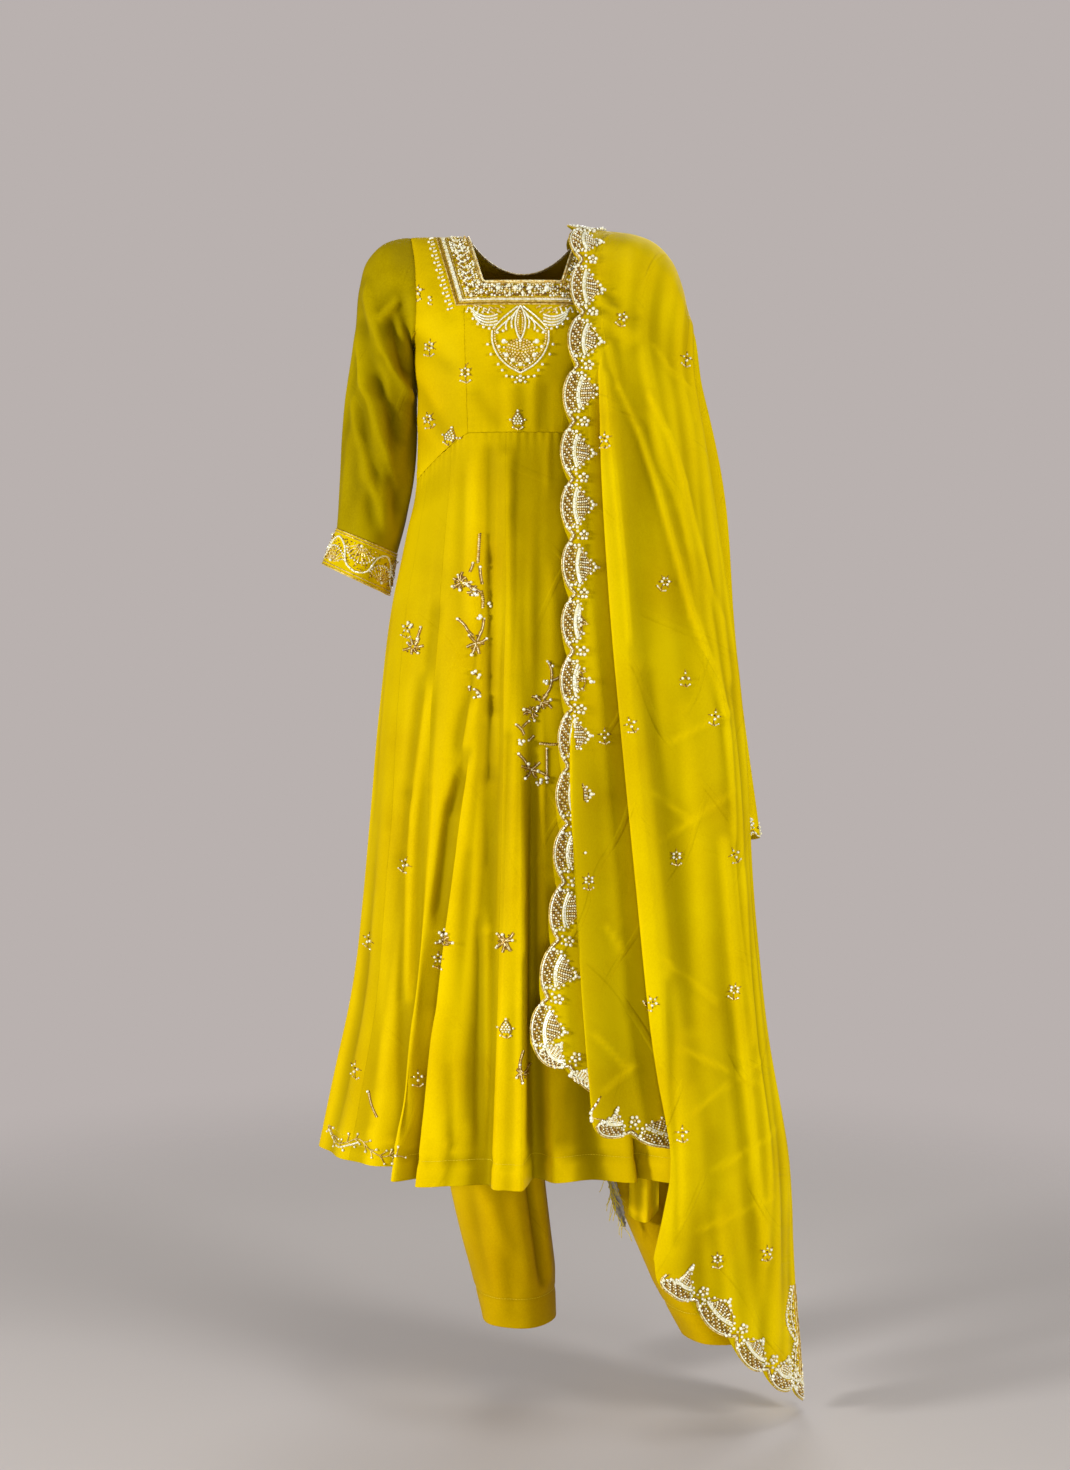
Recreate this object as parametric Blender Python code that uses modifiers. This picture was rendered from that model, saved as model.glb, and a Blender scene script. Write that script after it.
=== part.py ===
"""Anarkali salwar kameez suit, worn: flared kameez, straight trousers and a draped dupatta.

Metres, +Z up.  The origin is on the shoulder line above the middle of the neck, where the wearer
carries the suit.  The front faces -Y and +X is the wearer's left, the side of the dupatta.
Every piece of cloth is an open sheet, lofted from a short table, with a Solidify wall.
"""
import bpy
import numpy as np

# ---------------------------------------------------------------- driving dimensions
WALL = 0.0012            # modelled cloth wall
SEAM_GAP = 0.0008        # edge to edge at a sewn seam
HEM_Z = -1.184           # kameez hem below the shoulder line
CHEST_SEAM_Z = -0.258    # raised waist seam between the princess seams
SIDE_SEAM_Z = -0.312     # where the waist seam meets the side and goes round the back
PRINCESS_X = 0.068       # princess seam from the centre at the waist seam
NECK_BOTTOM_Z = -0.072   # bottom of the square neckline
NECK_CORNER_X = 0.049    # corner of the square neckline
NECK_TOP_X = 0.070       # neckline at the shoulder seam
NECK_BACK_Z = -0.034     # lowest point of the neckline at the back
UNDERARM_Z = -0.136
PRINCESS_TOP_DROP = 0.036    # from the neckline corner down to the top of the princess seam
PRINCESS_TOP_OUT = 0.004     # how much wider the centre panel is there
ARMHOLE_INSET = 33.0     # degrees that the armhole curves in at chest height
SEAM_SQUARENESS = 2.3       # of the bodice at the waist seam
SEAM_BEND = 1.2             # how much the slanting waist seam bows
PIPING_RADIUS = 0.0018
CORD_CLEAR = 0.0006      # waistband edge above the trouser cloth
WAISTBAND_WIDTH = 0.038
SCALLOP_PITCH = 0.073    # one scallop of the dupatta's edge
SCALLOP_DEPTH = 0.009
JOIN_GAP = 0.004         # between the shoulder stretch and the falls below it
PLEAT_TOP_Z = -0.600     # the inner pleat of the dupatta opens below this height
PLEAT_STANDS = 0.008     # and lies this far in front of the layer behind it
JOIN_Z = -0.105          # where the shoulder stretch meets the falls, at the neck side
JOIN_SLOPE = 0.075       # how much lower it is at the outside of the arm
HANG_SQUARENESS = 2.4    # roundness of the surface on which the dupatta hangs
FOLD_EASE = 0.75         # share of a smooth step over which a skirt fold grows to the hem
LEG_GAP = 0.0012         # from the middle to each side of the trousers' centre seam

YELLOW = (0.60, 0.47, 0.004)
SHEER_YELLOW = (0.50, 0.42, 0.006)
LINING_YELLOW = (0.72, 0.58, 0.004)
GOLD_ZARI = (0.55, 0.38, 0.12)
WRONG_SIDE = (0.35, 0.33, 0.30)

# Bodice stations from the waist up: height, half width, front depth, back depth, squareness
BODICE = np.array([
    (-0.350, 0.140, 0.096, 0.096, 2.3),
    (-0.312, 0.137, 0.098, 0.093, 2.3),
    (-0.258, 0.135, 0.103, 0.092, 2.3),
    (-0.200, 0.136, 0.116, 0.096, 2.4),
    (-0.150, 0.138, 0.122, 0.101, 2.5),
    (-0.110, 0.146, 0.110, 0.103, 2.8),
    (-0.072, 0.151, 0.091, 0.098, 3.0),
    (-0.042, 0.151, 0.068, 0.084, 3.0),
    (-0.018, 0.149, 0.044, 0.060, 3.0),
    (-0.004, 0.146, 0.020, 0.032, 3.0),
    (0.001, 0.143, 0.001, 0.008, 3.0),
])

# Skirt stations down the flare: height, half width, front depth, back depth, squareness
SKIRT = np.array([
    (-0.200, 0.135, 0.107, 0.092, 2.3),
    (-0.258, 0.135, 0.103, 0.092, 2.3),
    (-0.312, 0.137, 0.101, 0.093, 2.3),
    (-0.360, 0.146, 0.107, 0.106, 2.2),
    (-0.410, 0.156, 0.114, 0.118, 2.1),
    (-0.463, 0.167, 0.119, 0.128, 2.0),
    (-0.593, 0.182, 0.129, 0.142, 2.0),
    (-0.749, 0.193, 0.139, 0.152, 2.0),
    (-0.853, 0.202, 0.147, 0.160, 2.0),
    (-0.984, 0.218, 0.158, 0.170, 2.0),
    (-1.083, 0.238, 0.167, 0.180, 2.0),
    (-1.184, 0.259, 0.176, 0.190, 2.0),
])

# Skirt folds round the body: angle at the seam, angle at the hem (degrees, 0 in front and
# + to the wearer's left), how far the fold stands out at the hem (m), where it starts (0 to 1)
SKIRT_FOLDS = np.array([
    (-172.0, -174.0, 0.014, 0.15),
    (-158.0, -161.0, -0.032, 0.10),
    (-145.0, -147.0, 0.016, 0.12),
    (-131.0, -135.0, -0.026, 0.10),
    (-118.0, -121.0, 0.018, 0.08),
    (-106.0, -108.0, -0.020, 0.10),
    (-90.0, -93.0, 0.010, 0.02),
    (-78.0, -75.0, -0.003, 0.30),
    (-62.0, -59.0, 0.001, 0.15),
    (-43.0, -43.0, -0.012, 0.35),
    (-33.0, -39.0, 0.009, 0.30),
    (-16.0, -33.0, -0.026, 0.22),
    (-11.5, -29.0, 0.022, 0.20),
    (-8.0, -10.5, -0.010, 0.15),
    (-5.0, -6.0, 0.012, 0.10),
    (-1.5, -0.5, 0.016, 0.20),
    (3.0, 4.0, -0.050, 0.18),
    (8.0, 10.0, -0.020, 0.12),
    (14.0, 21.0, -0.026, 0.12),
    (20.0, 32.0, 0.004, 0.30),
    (23.0, 36.5, -0.014, 0.35),
    (29.0, 41.5, 0.034, 0.12),
    (39.0, 51.0, -0.016, 0.10),
    (50.0, 60.0, 0.012, 0.10),
    (63.0, 70.0, -0.018, 0.12),
    (77.0, 81.0, 0.012, 0.08),
    (90.0, 93.0, -0.014, 0.12),
    (104.0, 106.0, 0.014, 0.10),
    (118.0, 120.0, -0.024, 0.10),
    (131.0, 133.0, 0.016, 0.12),
    (144.0, 146.0, -0.024, 0.08),
    (157.0, 159.0, 0.016, 0.10),
    (170.0, 172.0, -0.022, 0.12),
])
# The hem rides up a little on the wearer's right, where the side panels are cut short
HEM_FOLDS = [0.0, 3.0, 7.0, 9.3, 9.6, 33.0]
HEM_RAISED = [0.0, 0.0, 0.011, 0.012, 0.0, 0.0]
# Gored panels of the skirt, sewn between the folds: name, first and last fold
KALIS = [
    ("kali_back_right", 0.5, 4.5),
    ("kali_side_right", 4.5, 8.0),
    ("kali_front_right", 8.0, 9.5),
    ("kali_front_centre", 9.5, 13.5),
    ("kali_front_left", 13.5, 19.5),
    ("kali_side_left", 19.5, 24.5),
    ("kali_back_left", 24.5, 29.5),
    ("kali_back_centre", 29.5, 33.5),
]

# Sleeve rings from the underarm to the cuff: outer edge x, z; inner edge x, z; half depth; y
RIGHT_SLEEVE = np.array([
    (0.177, -0.007, 0.1510, -0.139, 0.061, 0.004),
    (0.199, -0.027, 0.1510, -0.150, 0.062, 0.010),
    (0.210, -0.060, 0.1480, -0.168, 0.061, 0.018),
    (0.215, -0.115, 0.1440, -0.198, 0.058, 0.026),
    (0.228, -0.206, 0.1425, -0.252, 0.056, 0.030),
    (0.236, -0.296, 0.1490, -0.330, 0.054, 0.030),
    (0.243, -0.369, 0.1650, -0.402, 0.051, 0.030),
])
RIGHT_CUFF = np.array([
    (0.243, -0.369, 0.1650, -0.402, 0.051, 0.030),
    (0.262, -0.416, 0.1750, -0.457, 0.053, 0.030),
])
LEFT_SLEEVE = np.array([
    (0.166, -0.016, 0.1510, -0.139, 0.056, 0.002),
    (0.181, -0.040, 0.1510, -0.150, 0.057, 0.005),
    (0.189, -0.076, 0.1480, -0.168, 0.056, 0.008),
    (0.194, -0.125, 0.1450, -0.198, 0.053, 0.010),
    (0.203, -0.206, 0.1435, -0.250, 0.051, 0.010),
    (0.210, -0.300, 0.1500, -0.326, 0.049, 0.010),
    (0.218, -0.380, 0.1640, -0.402, 0.047, 0.012),
])
LEFT_CUFF = np.array([
    (0.218, -0.380, 0.1640, -0.402, 0.047, 0.012),
    (0.226, -0.432, 0.1740, -0.448, 0.048, 0.014),
])

# Trouser leg rings from the hem up to the fork: height, centre x, centre y, half width, half depth
RIGHT_LEG = np.array([
    (-1.400, -0.006, 0.000, 0.049, 0.058),
    (-1.335, -0.014, 0.000, 0.055, 0.062),
    (-1.231, -0.034, 0.000, 0.061, 0.066),
    (-1.050, -0.058, 0.000, 0.067, 0.074),
    (-0.850, -0.075, 0.000, 0.073, 0.085),
    (-0.700, -0.078, 0.000, 0.0768, 0.094),
])
LEFT_LEG = np.array([
    (-1.408, 0.257, -0.070, 0.050, 0.056),
    (-1.335, 0.219, -0.055, 0.053, 0.060),
    (-1.226, 0.173, -0.036, 0.055, 0.062),
    (-1.050, 0.122, -0.016, 0.061, 0.070),
    (-0.850, 0.090, -0.004, 0.073, 0.085),
    (-0.700, 0.078, 0.000, 0.0768, 0.094),
])
# Trouser hips from the fork to the waist: height, half width of the pair, half depth
HIPS = np.array([
    (-0.700, 0.155, 0.094),
    (-0.600, 0.160, 0.100),
    (-0.500, 0.143, 0.094),
    (-0.400, 0.122, 0.084),
])

# Surface on which the dupatta hangs: height, half width, front depth, back depth
HANG = np.array([
    (-0.060, 0.212, 0.090, 0.106),
    (-0.150, 0.238, 0.134, 0.126),
    (-0.250, 0.258, 0.143, 0.132),
    (-0.386, 0.276, 0.149, 0.146),
    (-0.489, 0.290, 0.151, 0.160),
    (-0.580, 0.302, 0.154, 0.172),
    (-0.670, 0.313, 0.159, 0.180),
    (-0.775, 0.326, 0.166, 0.188),
    (-0.850, 0.330, 0.172, 0.192),
    (-0.980, 0.338, 0.184, 0.200),
    (-1.100, 0.352, 0.198, 0.206),
    (-1.184, 0.364, 0.206, 0.210),
    (-1.300, 0.372, 0.204, 0.210),
    (-1.470, 0.384, 0.198, 0.210),
])
# Line of the dupatta over the shoulder from the neck to the outside of the arm: x, z
SHOULDER_LINE = np.array([
    (0.056, 0.016), (0.075, 0.014), (0.100, 0.012), (0.140, 0.008), (0.169, -0.003),
    (0.191, -0.026), (0.204, -0.056), (0.214, -0.104),
])
TURNED_EDGE = 0.034      # width of cloth that turns back behind each outer fold
# Heights of the columns of the two tables of fold lines that follow
FRONT_Z = np.array([-0.107, -0.263, -0.455, -0.655, -0.856, -1.009, -1.161, -1.312, -1.460])
BACK_Z = np.array([-0.107, -0.300, -0.500, -0.650, -0.780])
# Fold lines of the front fall: place along the shoulder line (0 to 1), how far it stands off
# the hanging surface (m), height of its end, then x at each height of FRONT_Z
FRONT_LINES = {
    "inner_edge": (0.00, 0.000, -1.006, 0.058, 0.046, 0.048, 0.042, 0.031, 0.006, 0.0, 0.0, 0.0),
    "border": (0.06, 0.001, -1.030, 0.072, 0.064, 0.064, 0.058, 0.050, 0.036, 0.03, 0.03, 0.03),
    "pleat_edge": (0.12, 0.003, -1.112, 0.084, 0.080, 0.076, 0.063, 0.070, 0.080, 0.095, 0.1, 0.1),
    "pleat_trough": (0.16, 0.000, -1.128, 0.090, 0.089, 0.089, 0.092, 0.104, 0.120, 0.13, 0.13, 0.13),
    "inner_end": (0.24, 0.000, -1.150, 0.104, 0.116, 0.124, 0.142, 0.168, 0.180, 0.19, 0.19, 0.19),
    "outer_edge": (0.20, 0.017, -1.272, 0.094, 0.098, 0.104, 0.121, 0.146, 0.157, 0.173, 0.143, 0.13),
    "outer_trough": (0.25, 0.014, -1.308, 0.105, 0.108, 0.119, 0.142, 0.168, 0.180, 0.191, 0.176, 0.17),
    "outer_ridge": (0.31, 0.023, -1.336, 0.117, 0.124, 0.140, 0.166, 0.192, 0.206, 0.220, 0.213, 0.21),
    "second_trough": (0.40, 0.012, -1.378, 0.130, 0.150, 0.175, 0.206, 0.226, 0.242, 0.257, 0.252, 0.25),
    "second_ridge": (0.52, 0.021, -1.418, 0.146, 0.174, 0.208, 0.244, 0.262, 0.280, 0.296, 0.290, 0.286),
    "third_trough": (0.72, 0.010, -1.447, 0.172, 0.202, 0.230, 0.261, 0.275, 0.293, 0.314, 0.318, 0.320),
    "outer_fold": (1.00, 0.008, -1.478, 0.200, 0.222, 0.248, 0.276, 0.290, 0.308, 0.334, 0.341, 0.356),
}
# Fold lines of the back fall, the same columns with BACK_Z
BACK_LINES = {
    "inner_edge": (0.00, 0.000, -0.770, 0.058, 0.052, 0.048, 0.046, 0.044),
    "inner_ridge": (0.10, 0.012, -0.776, 0.082, 0.082, 0.084, 0.086, 0.088),
    "inner_trough": (0.17, 0.002, -0.772, 0.098, 0.106, 0.114, 0.118, 0.122),
    "middle_ridge": (0.28, 0.015, -0.780, 0.122, 0.136, 0.148, 0.156, 0.162),
    "middle_trough": (0.40, 0.003, -0.776, 0.144, 0.168, 0.184, 0.194, 0.202),
    "outer_ridge": (0.56, 0.014, -0.784, 0.166, 0.200, 0.220, 0.232, 0.242),
    "outer_trough": (0.76, 0.004, -0.778, 0.192, 0.232, 0.254, 0.268, 0.282),
    "outer_fold": (1.00, 0.004, -0.786, 0.217, 0.260, 0.281, 0.299, 0.315),
}


# ---------------------------------------------------------------- tables and curves
def spline(knots, values, at):
    """Smooth curve through values (one row per knot), read at any places."""
    knots = np.asarray(knots, float)
    values = np.asarray(values, float)
    if knots[0] > knots[-1]:
        knots, values = knots[::-1], values[::-1]
    slopes = np.gradient(values, knots, axis=0)
    at = np.clip(np.asarray(at, float), knots[0], knots[-1])
    cell = np.clip(np.searchsorted(knots, at, side="right") - 1, 0, len(knots) - 2)
    width = knots[cell + 1] - knots[cell]
    part = (at - knots[cell]) / width
    if values.ndim > 1:
        width, part = width[..., None], part[..., None]
    start = (2 * part**3 - 3 * part**2 + 1) * values[cell]
    start_slope = (part**3 - 2 * part**2 + part) * width * slopes[cell]
    end = (3 * part**2 - 2 * part**3) * values[cell + 1]
    end_slope = (part**3 - part**2) * width * slopes[cell + 1]
    return start + start_slope + end + end_slope


def between(first, last, count):
    return np.linspace(first, last, count)


def smooth_step(part):
    part = np.clip(part, 0.0, 1.0)
    return part * part * (3.0 - 2.0 * part)


# ---------------------------------------------------------------- cloth as sheets
parts = bpy.data.collections.new("salwar_kameez_suit")


def finish_material(name, colour, roughness, metallic=0.0):
    material = bpy.data.materials.new(name)
    material.use_nodes = True
    shader = material.node_tree.nodes["Principled BSDF"]
    shader.inputs["Base Color"].default_value = (*colour, 1.0)
    shader.inputs["Roughness"].default_value = roughness
    shader.inputs["Metallic"].default_value = metallic
    return material


def sheet(name, grid, material, closed=False, wall=WALL):
    """One piece of cloth from rows of points; closed joins the last column to the first."""
    rows, columns = grid.shape[:2]
    faces = []
    for row in range(rows - 1):
        for column in range(columns if closed else columns - 1):
            here = row * columns + column
            right = row * columns + (column + 1) % columns
            faces.append((here, right, right + columns, here + columns))
    mesh = bpy.data.meshes.new(name)
    mesh.from_pydata(grid.reshape(-1, 3).tolist(), [], faces)
    mesh.materials.append(material)
    mesh.shade_smooth()
    piece = bpy.data.objects.new(name, mesh)
    parts.objects.link(piece)
    shell = piece.modifiers.new("cloth_wall", "SOLIDIFY")
    shell.thickness = wall
    shell.offset = 0.0
    return piece


def drawn_in(grid, gap, first=False, last=False, top=False, bottom=False):
    """Pull the named edges of a grid back by a gap, along the cloth."""
    def toward(edge, neighbour):
        step = neighbour - edge
        return edge + step * gap / np.linalg.norm(step, axis=-1, keepdims=True)
    grid = grid.copy()
    if first:
        grid[:, 0] = toward(grid[:, 0], grid[:, 1])
    if last:
        grid[:, -1] = toward(grid[:, -1], grid[:, -2])
    if bottom:
        grid[0] = toward(grid[0], grid[1])
    if top:
        grid[-1] = toward(grid[-1], grid[-2])
    return grid


# ---------------------------------------------------------------- bodice
BODICE_STEPS = between(0.0, len(BODICE) - 1.0, 400)
BODICE_HEIGHTS = spline(np.arange(len(BODICE)), BODICE, BODICE_STEPS)[:, 0]


def on_bodice(angle, height):
    """Point of the bodice at an angle from the front (radians) and a height."""
    step = np.interp(height, BODICE_HEIGHTS, BODICE_STEPS)
    station = spline(np.arange(len(BODICE)), BODICE, step)
    width, front, back, square = (station[..., column] for column in (1, 2, 3, 4))
    depth = np.where(np.cos(angle) >= 0.0, front, back)
    power = 2.0 / square
    x = width * np.sign(np.sin(angle)) * np.abs(np.sin(angle)) ** power
    y = -depth * np.sign(np.cos(angle)) * np.abs(np.cos(angle)) ** power
    return np.stack([x, y, np.broadcast_to(height, x.shape)], axis=-1)


def bodice_angle(x, height, facing):
    """Angle of the point of the bodice that has this x; facing is 1 in front, -1 behind."""
    step = np.interp(height, BODICE_HEIGHTS, BODICE_STEPS)
    station = spline(np.arange(len(BODICE)), BODICE, step)
    reach = np.clip(np.abs(x) / station[..., 1], 0.0, 0.9999)
    angle = np.arcsin(reach ** (station[..., 4] / 2.0))
    return np.sign(x) * (angle if facing > 0 else np.pi - angle)


def armhole(turn, facing, side):
    """Angle and height on the armhole; turn runs 0 at the underarm to 1 at the shoulder."""
    height = UNDERARM_Z * (0.5 + 0.5 * np.cos(np.pi * turn))
    inset = np.radians(ARMHOLE_INSET) * np.sin(np.pi * np.clip(turn, 0.0, 1.0)) ** 0.8
    angle = np.pi / 2 - inset if facing > 0 else np.pi / 2 + inset
    return side * angle, height


ARMHOLE_TURNS = between(0.0, 1.0, 6)
PRINCESS_TOP_Z = NECK_BOTTOM_Z - PRINCESS_TOP_DROP


def waist_drop(angle):
    """Share of its whole drop that the waist seam has made at an angle round the front."""
    half_width = np.interp(SIDE_SEAM_Z, BODICE[:, 0], BODICE[:, 1])
    x = half_width * np.abs(np.sin(angle)) ** (2.0 / SEAM_SQUARENESS)
    return np.clip((x - PRINCESS_X) / (half_width - PRINCESS_X), 0.0, 1.0) ** SEAM_BEND


def side_panel(facing, side):
    """Front or back side of the bodice: waist seam, side seam, armhole, shoulder, inner edge."""
    turns = ARMHOLE_TURNS
    below = between(SIDE_SEAM_Z, UNDERARM_Z, 4)[:-1]
    arm_angle, arm_height = armhole(turns, facing, side)
    outer_angle = np.concatenate([np.full(len(below), side * np.pi / 2), arm_angle])
    outer_height = np.concatenate([below, arm_height])
    if facing > 0:
        inner_height = np.concatenate([
            between(CHEST_SEAM_Z, PRINCESS_TOP_Z, 4),
            between(NECK_BOTTOM_Z, 0.0, 5),
        ])
        inner_x = np.interp(
            inner_height, [CHEST_SEAM_Z, PRINCESS_TOP_Z, NECK_BOTTOM_Z, 0.0],
            [PRINCESS_X, PRINCESS_X + PRINCESS_TOP_OUT, NECK_CORNER_X, NECK_TOP_X])
    else:
        inner_height = between(SIDE_SEAM_Z, 0.0, len(outer_height))
        inner_x = np.full(len(outer_height), NECK_TOP_X)
    inner_angle = bodice_angle(side * inner_x, inner_height, facing)
    grid = []
    for row in range(len(outer_height)):
        part = between(0.0, 1.0, 6)
        angle = inner_angle[row] + (outer_angle[row] - inner_angle[row]) * part
        height = inner_height[row] + (outer_height[row] - inner_height[row]) * part
        if facing > 0 and row == 0:
            height = CHEST_SEAM_Z + (SIDE_SEAM_Z - CHEST_SEAM_Z) * waist_drop(angle)
        grid.append(on_bodice(angle, height))
    return np.array(grid)


def centre_front():
    grid = []
    heights = np.concatenate([between(CHEST_SEAM_Z, PRINCESS_TOP_Z, 4), [NECK_BOTTOM_Z]])
    edges = np.interp(
        heights, [CHEST_SEAM_Z, PRINCESS_TOP_Z, NECK_BOTTOM_Z],
        [PRINCESS_X, PRINCESS_X + PRINCESS_TOP_OUT, NECK_CORNER_X])
    for height, edge in zip(heights, edges):
        x = between(-edge, edge, 7)
        angle = bodice_angle(x, np.full(7, height), 1)
        grid.append(on_bodice(angle, np.full(7, height)))
    return np.array(grid)


def centre_back():
    """Back panel between the two side backs, scooped at the neckline."""
    grid = []
    rows = len(ARMHOLE_TURNS) + 3
    edge_heights = between(SIDE_SEAM_Z, 0.0, rows)
    for row in range(rows):
        x = between(-NECK_TOP_X, NECK_TOP_X, 7)
        scoop = (NECK_BACK_Z - edge_heights[-1]) * (1.0 - (x / NECK_TOP_X) ** 2)
        height = edge_heights[row] + scoop * (row / (rows - 1.0)) ** 2
        angle = bodice_angle(np.where(x == 0.0, 1e-9, x), height, -1)
        grid.append(on_bodice(angle, height))
    return np.array(grid)


def neck_piping(material):
    """Zari piping round the neckline, just inside the edges of the bodice panels."""
    clear = PIPING_RADIUS + WALL / 2 + 0.0004
    bottom = centre_front()[-1] + (0.0, 0.0, clear)
    inset = np.array([clear, 0.0, 0.0])
    strap = side_panel(1, 1)[-5:, 0] - inset
    strap[0] = bottom[-1] + (-0.0016, 0.0, 0.0006)
    strap[-1, 2] += 0.0008
    scoop = centre_back()[-1] + (0.0, 0.0, clear)
    scoop[0] += inset * 1.2
    scoop[-1] -= inset * 1.2
    mirror = np.array([-1.0, 1.0, 1.0])
    loop = np.concatenate([bottom[1:-1], strap, scoop[::-1][1:-1], (strap * mirror)[::-1]])
    curve = bpy.data.curves.new("neck_piping", "CURVE")
    curve.dimensions = "3D"
    curve.bevel_depth = PIPING_RADIUS
    curve.bevel_resolution = 1
    thread = curve.splines.new("POLY")
    thread.points.add(len(loop) - 1)
    for point, place in zip(thread.points, loop):
        point.co = (*place, 1.0)
    thread.use_cyclic_u = True
    curve.materials.append(material)
    parts.objects.link(bpy.data.objects.new("neck_piping", curve))


# ---------------------------------------------------------------- sleeves
def sleeve_ring(row, side, count):
    """Ring of a sleeve or cuff between its outer and inner edges, from the outside round."""
    outer_x, outer_z, inner_x, inner_z, depth, middle_y = row
    turn = between(0.0, 2 * np.pi, count + 1)[:-1]
    x = (outer_x + inner_x) / 2 + (outer_x - inner_x) / 2 * np.cos(turn)
    z = (outer_z + inner_z) / 2 + (outer_z - inner_z) / 2 * np.cos(turn)
    y = middle_y + depth * np.sin(turn)
    return np.stack([side * x, y, z], axis=-1)


def sleeve(rings, side):
    """Sleeve sewn into the armhole: its first ring is the armhole edge, drawn off by the gap."""
    back_angle, back_height = armhole(ARMHOLE_TURNS[::-1], -1, side)
    front_angle, front_height = armhole(ARMHOLE_TURNS, 1, side)
    behind = on_bodice(back_angle, back_height)
    ahead = on_bodice(front_angle, front_height)[1:-1]
    head = np.concatenate([behind, ahead])
    grid = np.array([head] + [sleeve_ring(row, side, len(head)) for row in rings])
    grid = drawn_in(grid, SEAM_GAP + WALL / 2, bottom=True)
    return drawn_in(grid, SEAM_GAP, top=True)


# ---------------------------------------------------------------- skirt
def waist_seam(angle):
    """Top edge of the skirt: level in front, down to the side seam, level behind."""
    ahead = np.abs(angle) < np.pi / 2
    return CHEST_SEAM_Z + (SIDE_SEAM_Z - CHEST_SEAM_Z) * np.where(ahead, waist_drop(angle), 1.0)


def skirt_point(fold, drop):
    """Point of the skirt: fold counts along SKIRT_FOLDS, drop runs 0 at the seam to 1 at the hem."""
    count = len(SKIRT_FOLDS)
    first = np.floor(fold).astype(int)
    part = fold - first
    left = SKIRT_FOLDS[first % count]
    right = SKIRT_FOLDS[(first + 1) % count]
    spread = smooth_step(drop * 1.25)

    def fold_angle(row, extra):
        return row[..., 0] + extra + (row[..., 1] - row[..., 0]) * spread

    def fold_depth(row):
        grown = (drop - row[..., 3]) / (1.0 - row[..., 3])
        return row[..., 2] * smooth_step(grown * FOLD_EASE) / smooth_step(FOLD_EASE)

    angle = (1 - part) * fold_angle(left, 360.0 * (first // count))
    angle = angle + part * fold_angle(right, 360.0 * ((first + 1) // count))
    angle = np.radians((angle + 180.0) % 360.0 - 180.0)
    swell = 0.5 - 0.5 * np.cos(np.pi * part)
    depth = (1 - swell) * fold_depth(left) + swell * fold_depth(right)
    top = waist_seam(angle) - SEAM_GAP
    hem = HEM_Z + np.interp(fold % count, HEM_FOLDS, HEM_RAISED)
    height = top + (hem - top) * drop
    station = spline(SKIRT[:, 0], SKIRT, height)
    width, front, back, square = (station[..., column] for column in (1, 2, 3, 4))
    reach = np.where(np.cos(angle) >= 0.0, front, back)
    power = 2.0 / square
    x = (width + depth) * np.sign(np.sin(angle)) * np.abs(np.sin(angle)) ** power
    y = -(reach + depth) * np.sign(np.cos(angle)) * np.abs(np.cos(angle)) ** power
    return np.stack([x, y, height], axis=-1)


def kali(first, last, per_fold=3, rows=8):
    columns = int((last - first) * per_fold) + 1
    fold, drop = np.meshgrid(between(first, last, columns), between(0.0, 1.0, rows))
    grid = skirt_point(fold, drop)
    return drawn_in(grid, SEAM_GAP / 2 + 0.0001, first=True, last=True)


def lining_tail():
    """Corner of the lining that drops below the hem in front of the left leg."""
    heights = np.array([-1.010, -1.080, -1.150, -1.210, -1.246])
    shares = between(0.0, 1.0, 5)
    share, height = np.meshgrid(shares, heights)
    ripple = 0.003 * np.sin(2.6 * np.pi * share)
    x = 0.133 + 0.038 * share + 0.004 * (height + 1.246) / 0.236
    y = -0.086 - 0.120 * (-1.010 - height) + ripple
    height[-1] += 0.012 * (2.0 * shares - 0.9) ** 2
    return np.stack([x, y, height], axis=-1)


def lining_raw_edge():
    """Narrow frayed strip of the lining's seam allowance, wrong side out."""
    heights = np.array([-1.150, -1.190, -1.228, -1.253])
    left = np.array([0.100, 0.106, 0.114, 0.125])
    right = np.array([0.112, 0.116, 0.127, 0.130])
    depth = np.full(4, -0.104)
    return np.stack([np.stack([left, depth, heights], axis=-1),
                     np.stack([right, depth - 0.002, heights], axis=-1)], axis=1)


# ---------------------------------------------------------------- trousers
def leg(rings, side, count=12):
    """One leg with its half of the hips: closed round below the fork, open at the centre above."""
    turn = between(0.0, 2 * np.pi, count + 1)
    grid = []
    for height, centre_x, centre_y, width, depth in rings:
        x = centre_x - side * width * np.cos(turn)
        y = centre_y - depth * np.sin(turn)
        grid.append(np.stack([x, y, np.full(count + 1, height)], axis=-1))
    half = between(0.0, np.pi, count + 1)
    for height, width, depth in HIPS[1:]:
        x = side * (LEG_GAP + (width - LEG_GAP) * np.sin(half))
        y = -depth * np.cos(half)
        grid.append(np.stack([x, y, np.full(count + 1, height)], axis=-1))
    return np.array(grid)


def waistband(count=16):
    """Elastic casing above the trouser cloth."""
    height, width, depth = HIPS[-1]
    turn = between(0.0, 2 * np.pi, count + 1)[:-1]
    ring = np.stack([width * np.cos(turn), depth * np.sin(turn), np.zeros(count)], axis=-1)
    low, high = height + CORD_CLEAR + WALL / 2, height + WAISTBAND_WIDTH
    return np.array([ring + (0.0, 0.0, low), ring + (0.0, 0.0, high)])


# ---------------------------------------------------------------- dupatta
def hanging_y(x, height, facing):
    """Depth of the hanging surface at x and a height; facing is 1 in front, -1 behind."""
    width, front, back = (spline(HANG[:, 0], HANG[:, column], height) for column in (1, 2, 3))
    depth = front if facing > 0 else back
    flat = 1.0 - np.clip(np.abs(x) / width, 0.0, 0.999) ** HANG_SQUARENESS
    return -facing * depth * flat ** (1.0 / HANG_SQUARENESS)


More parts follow.
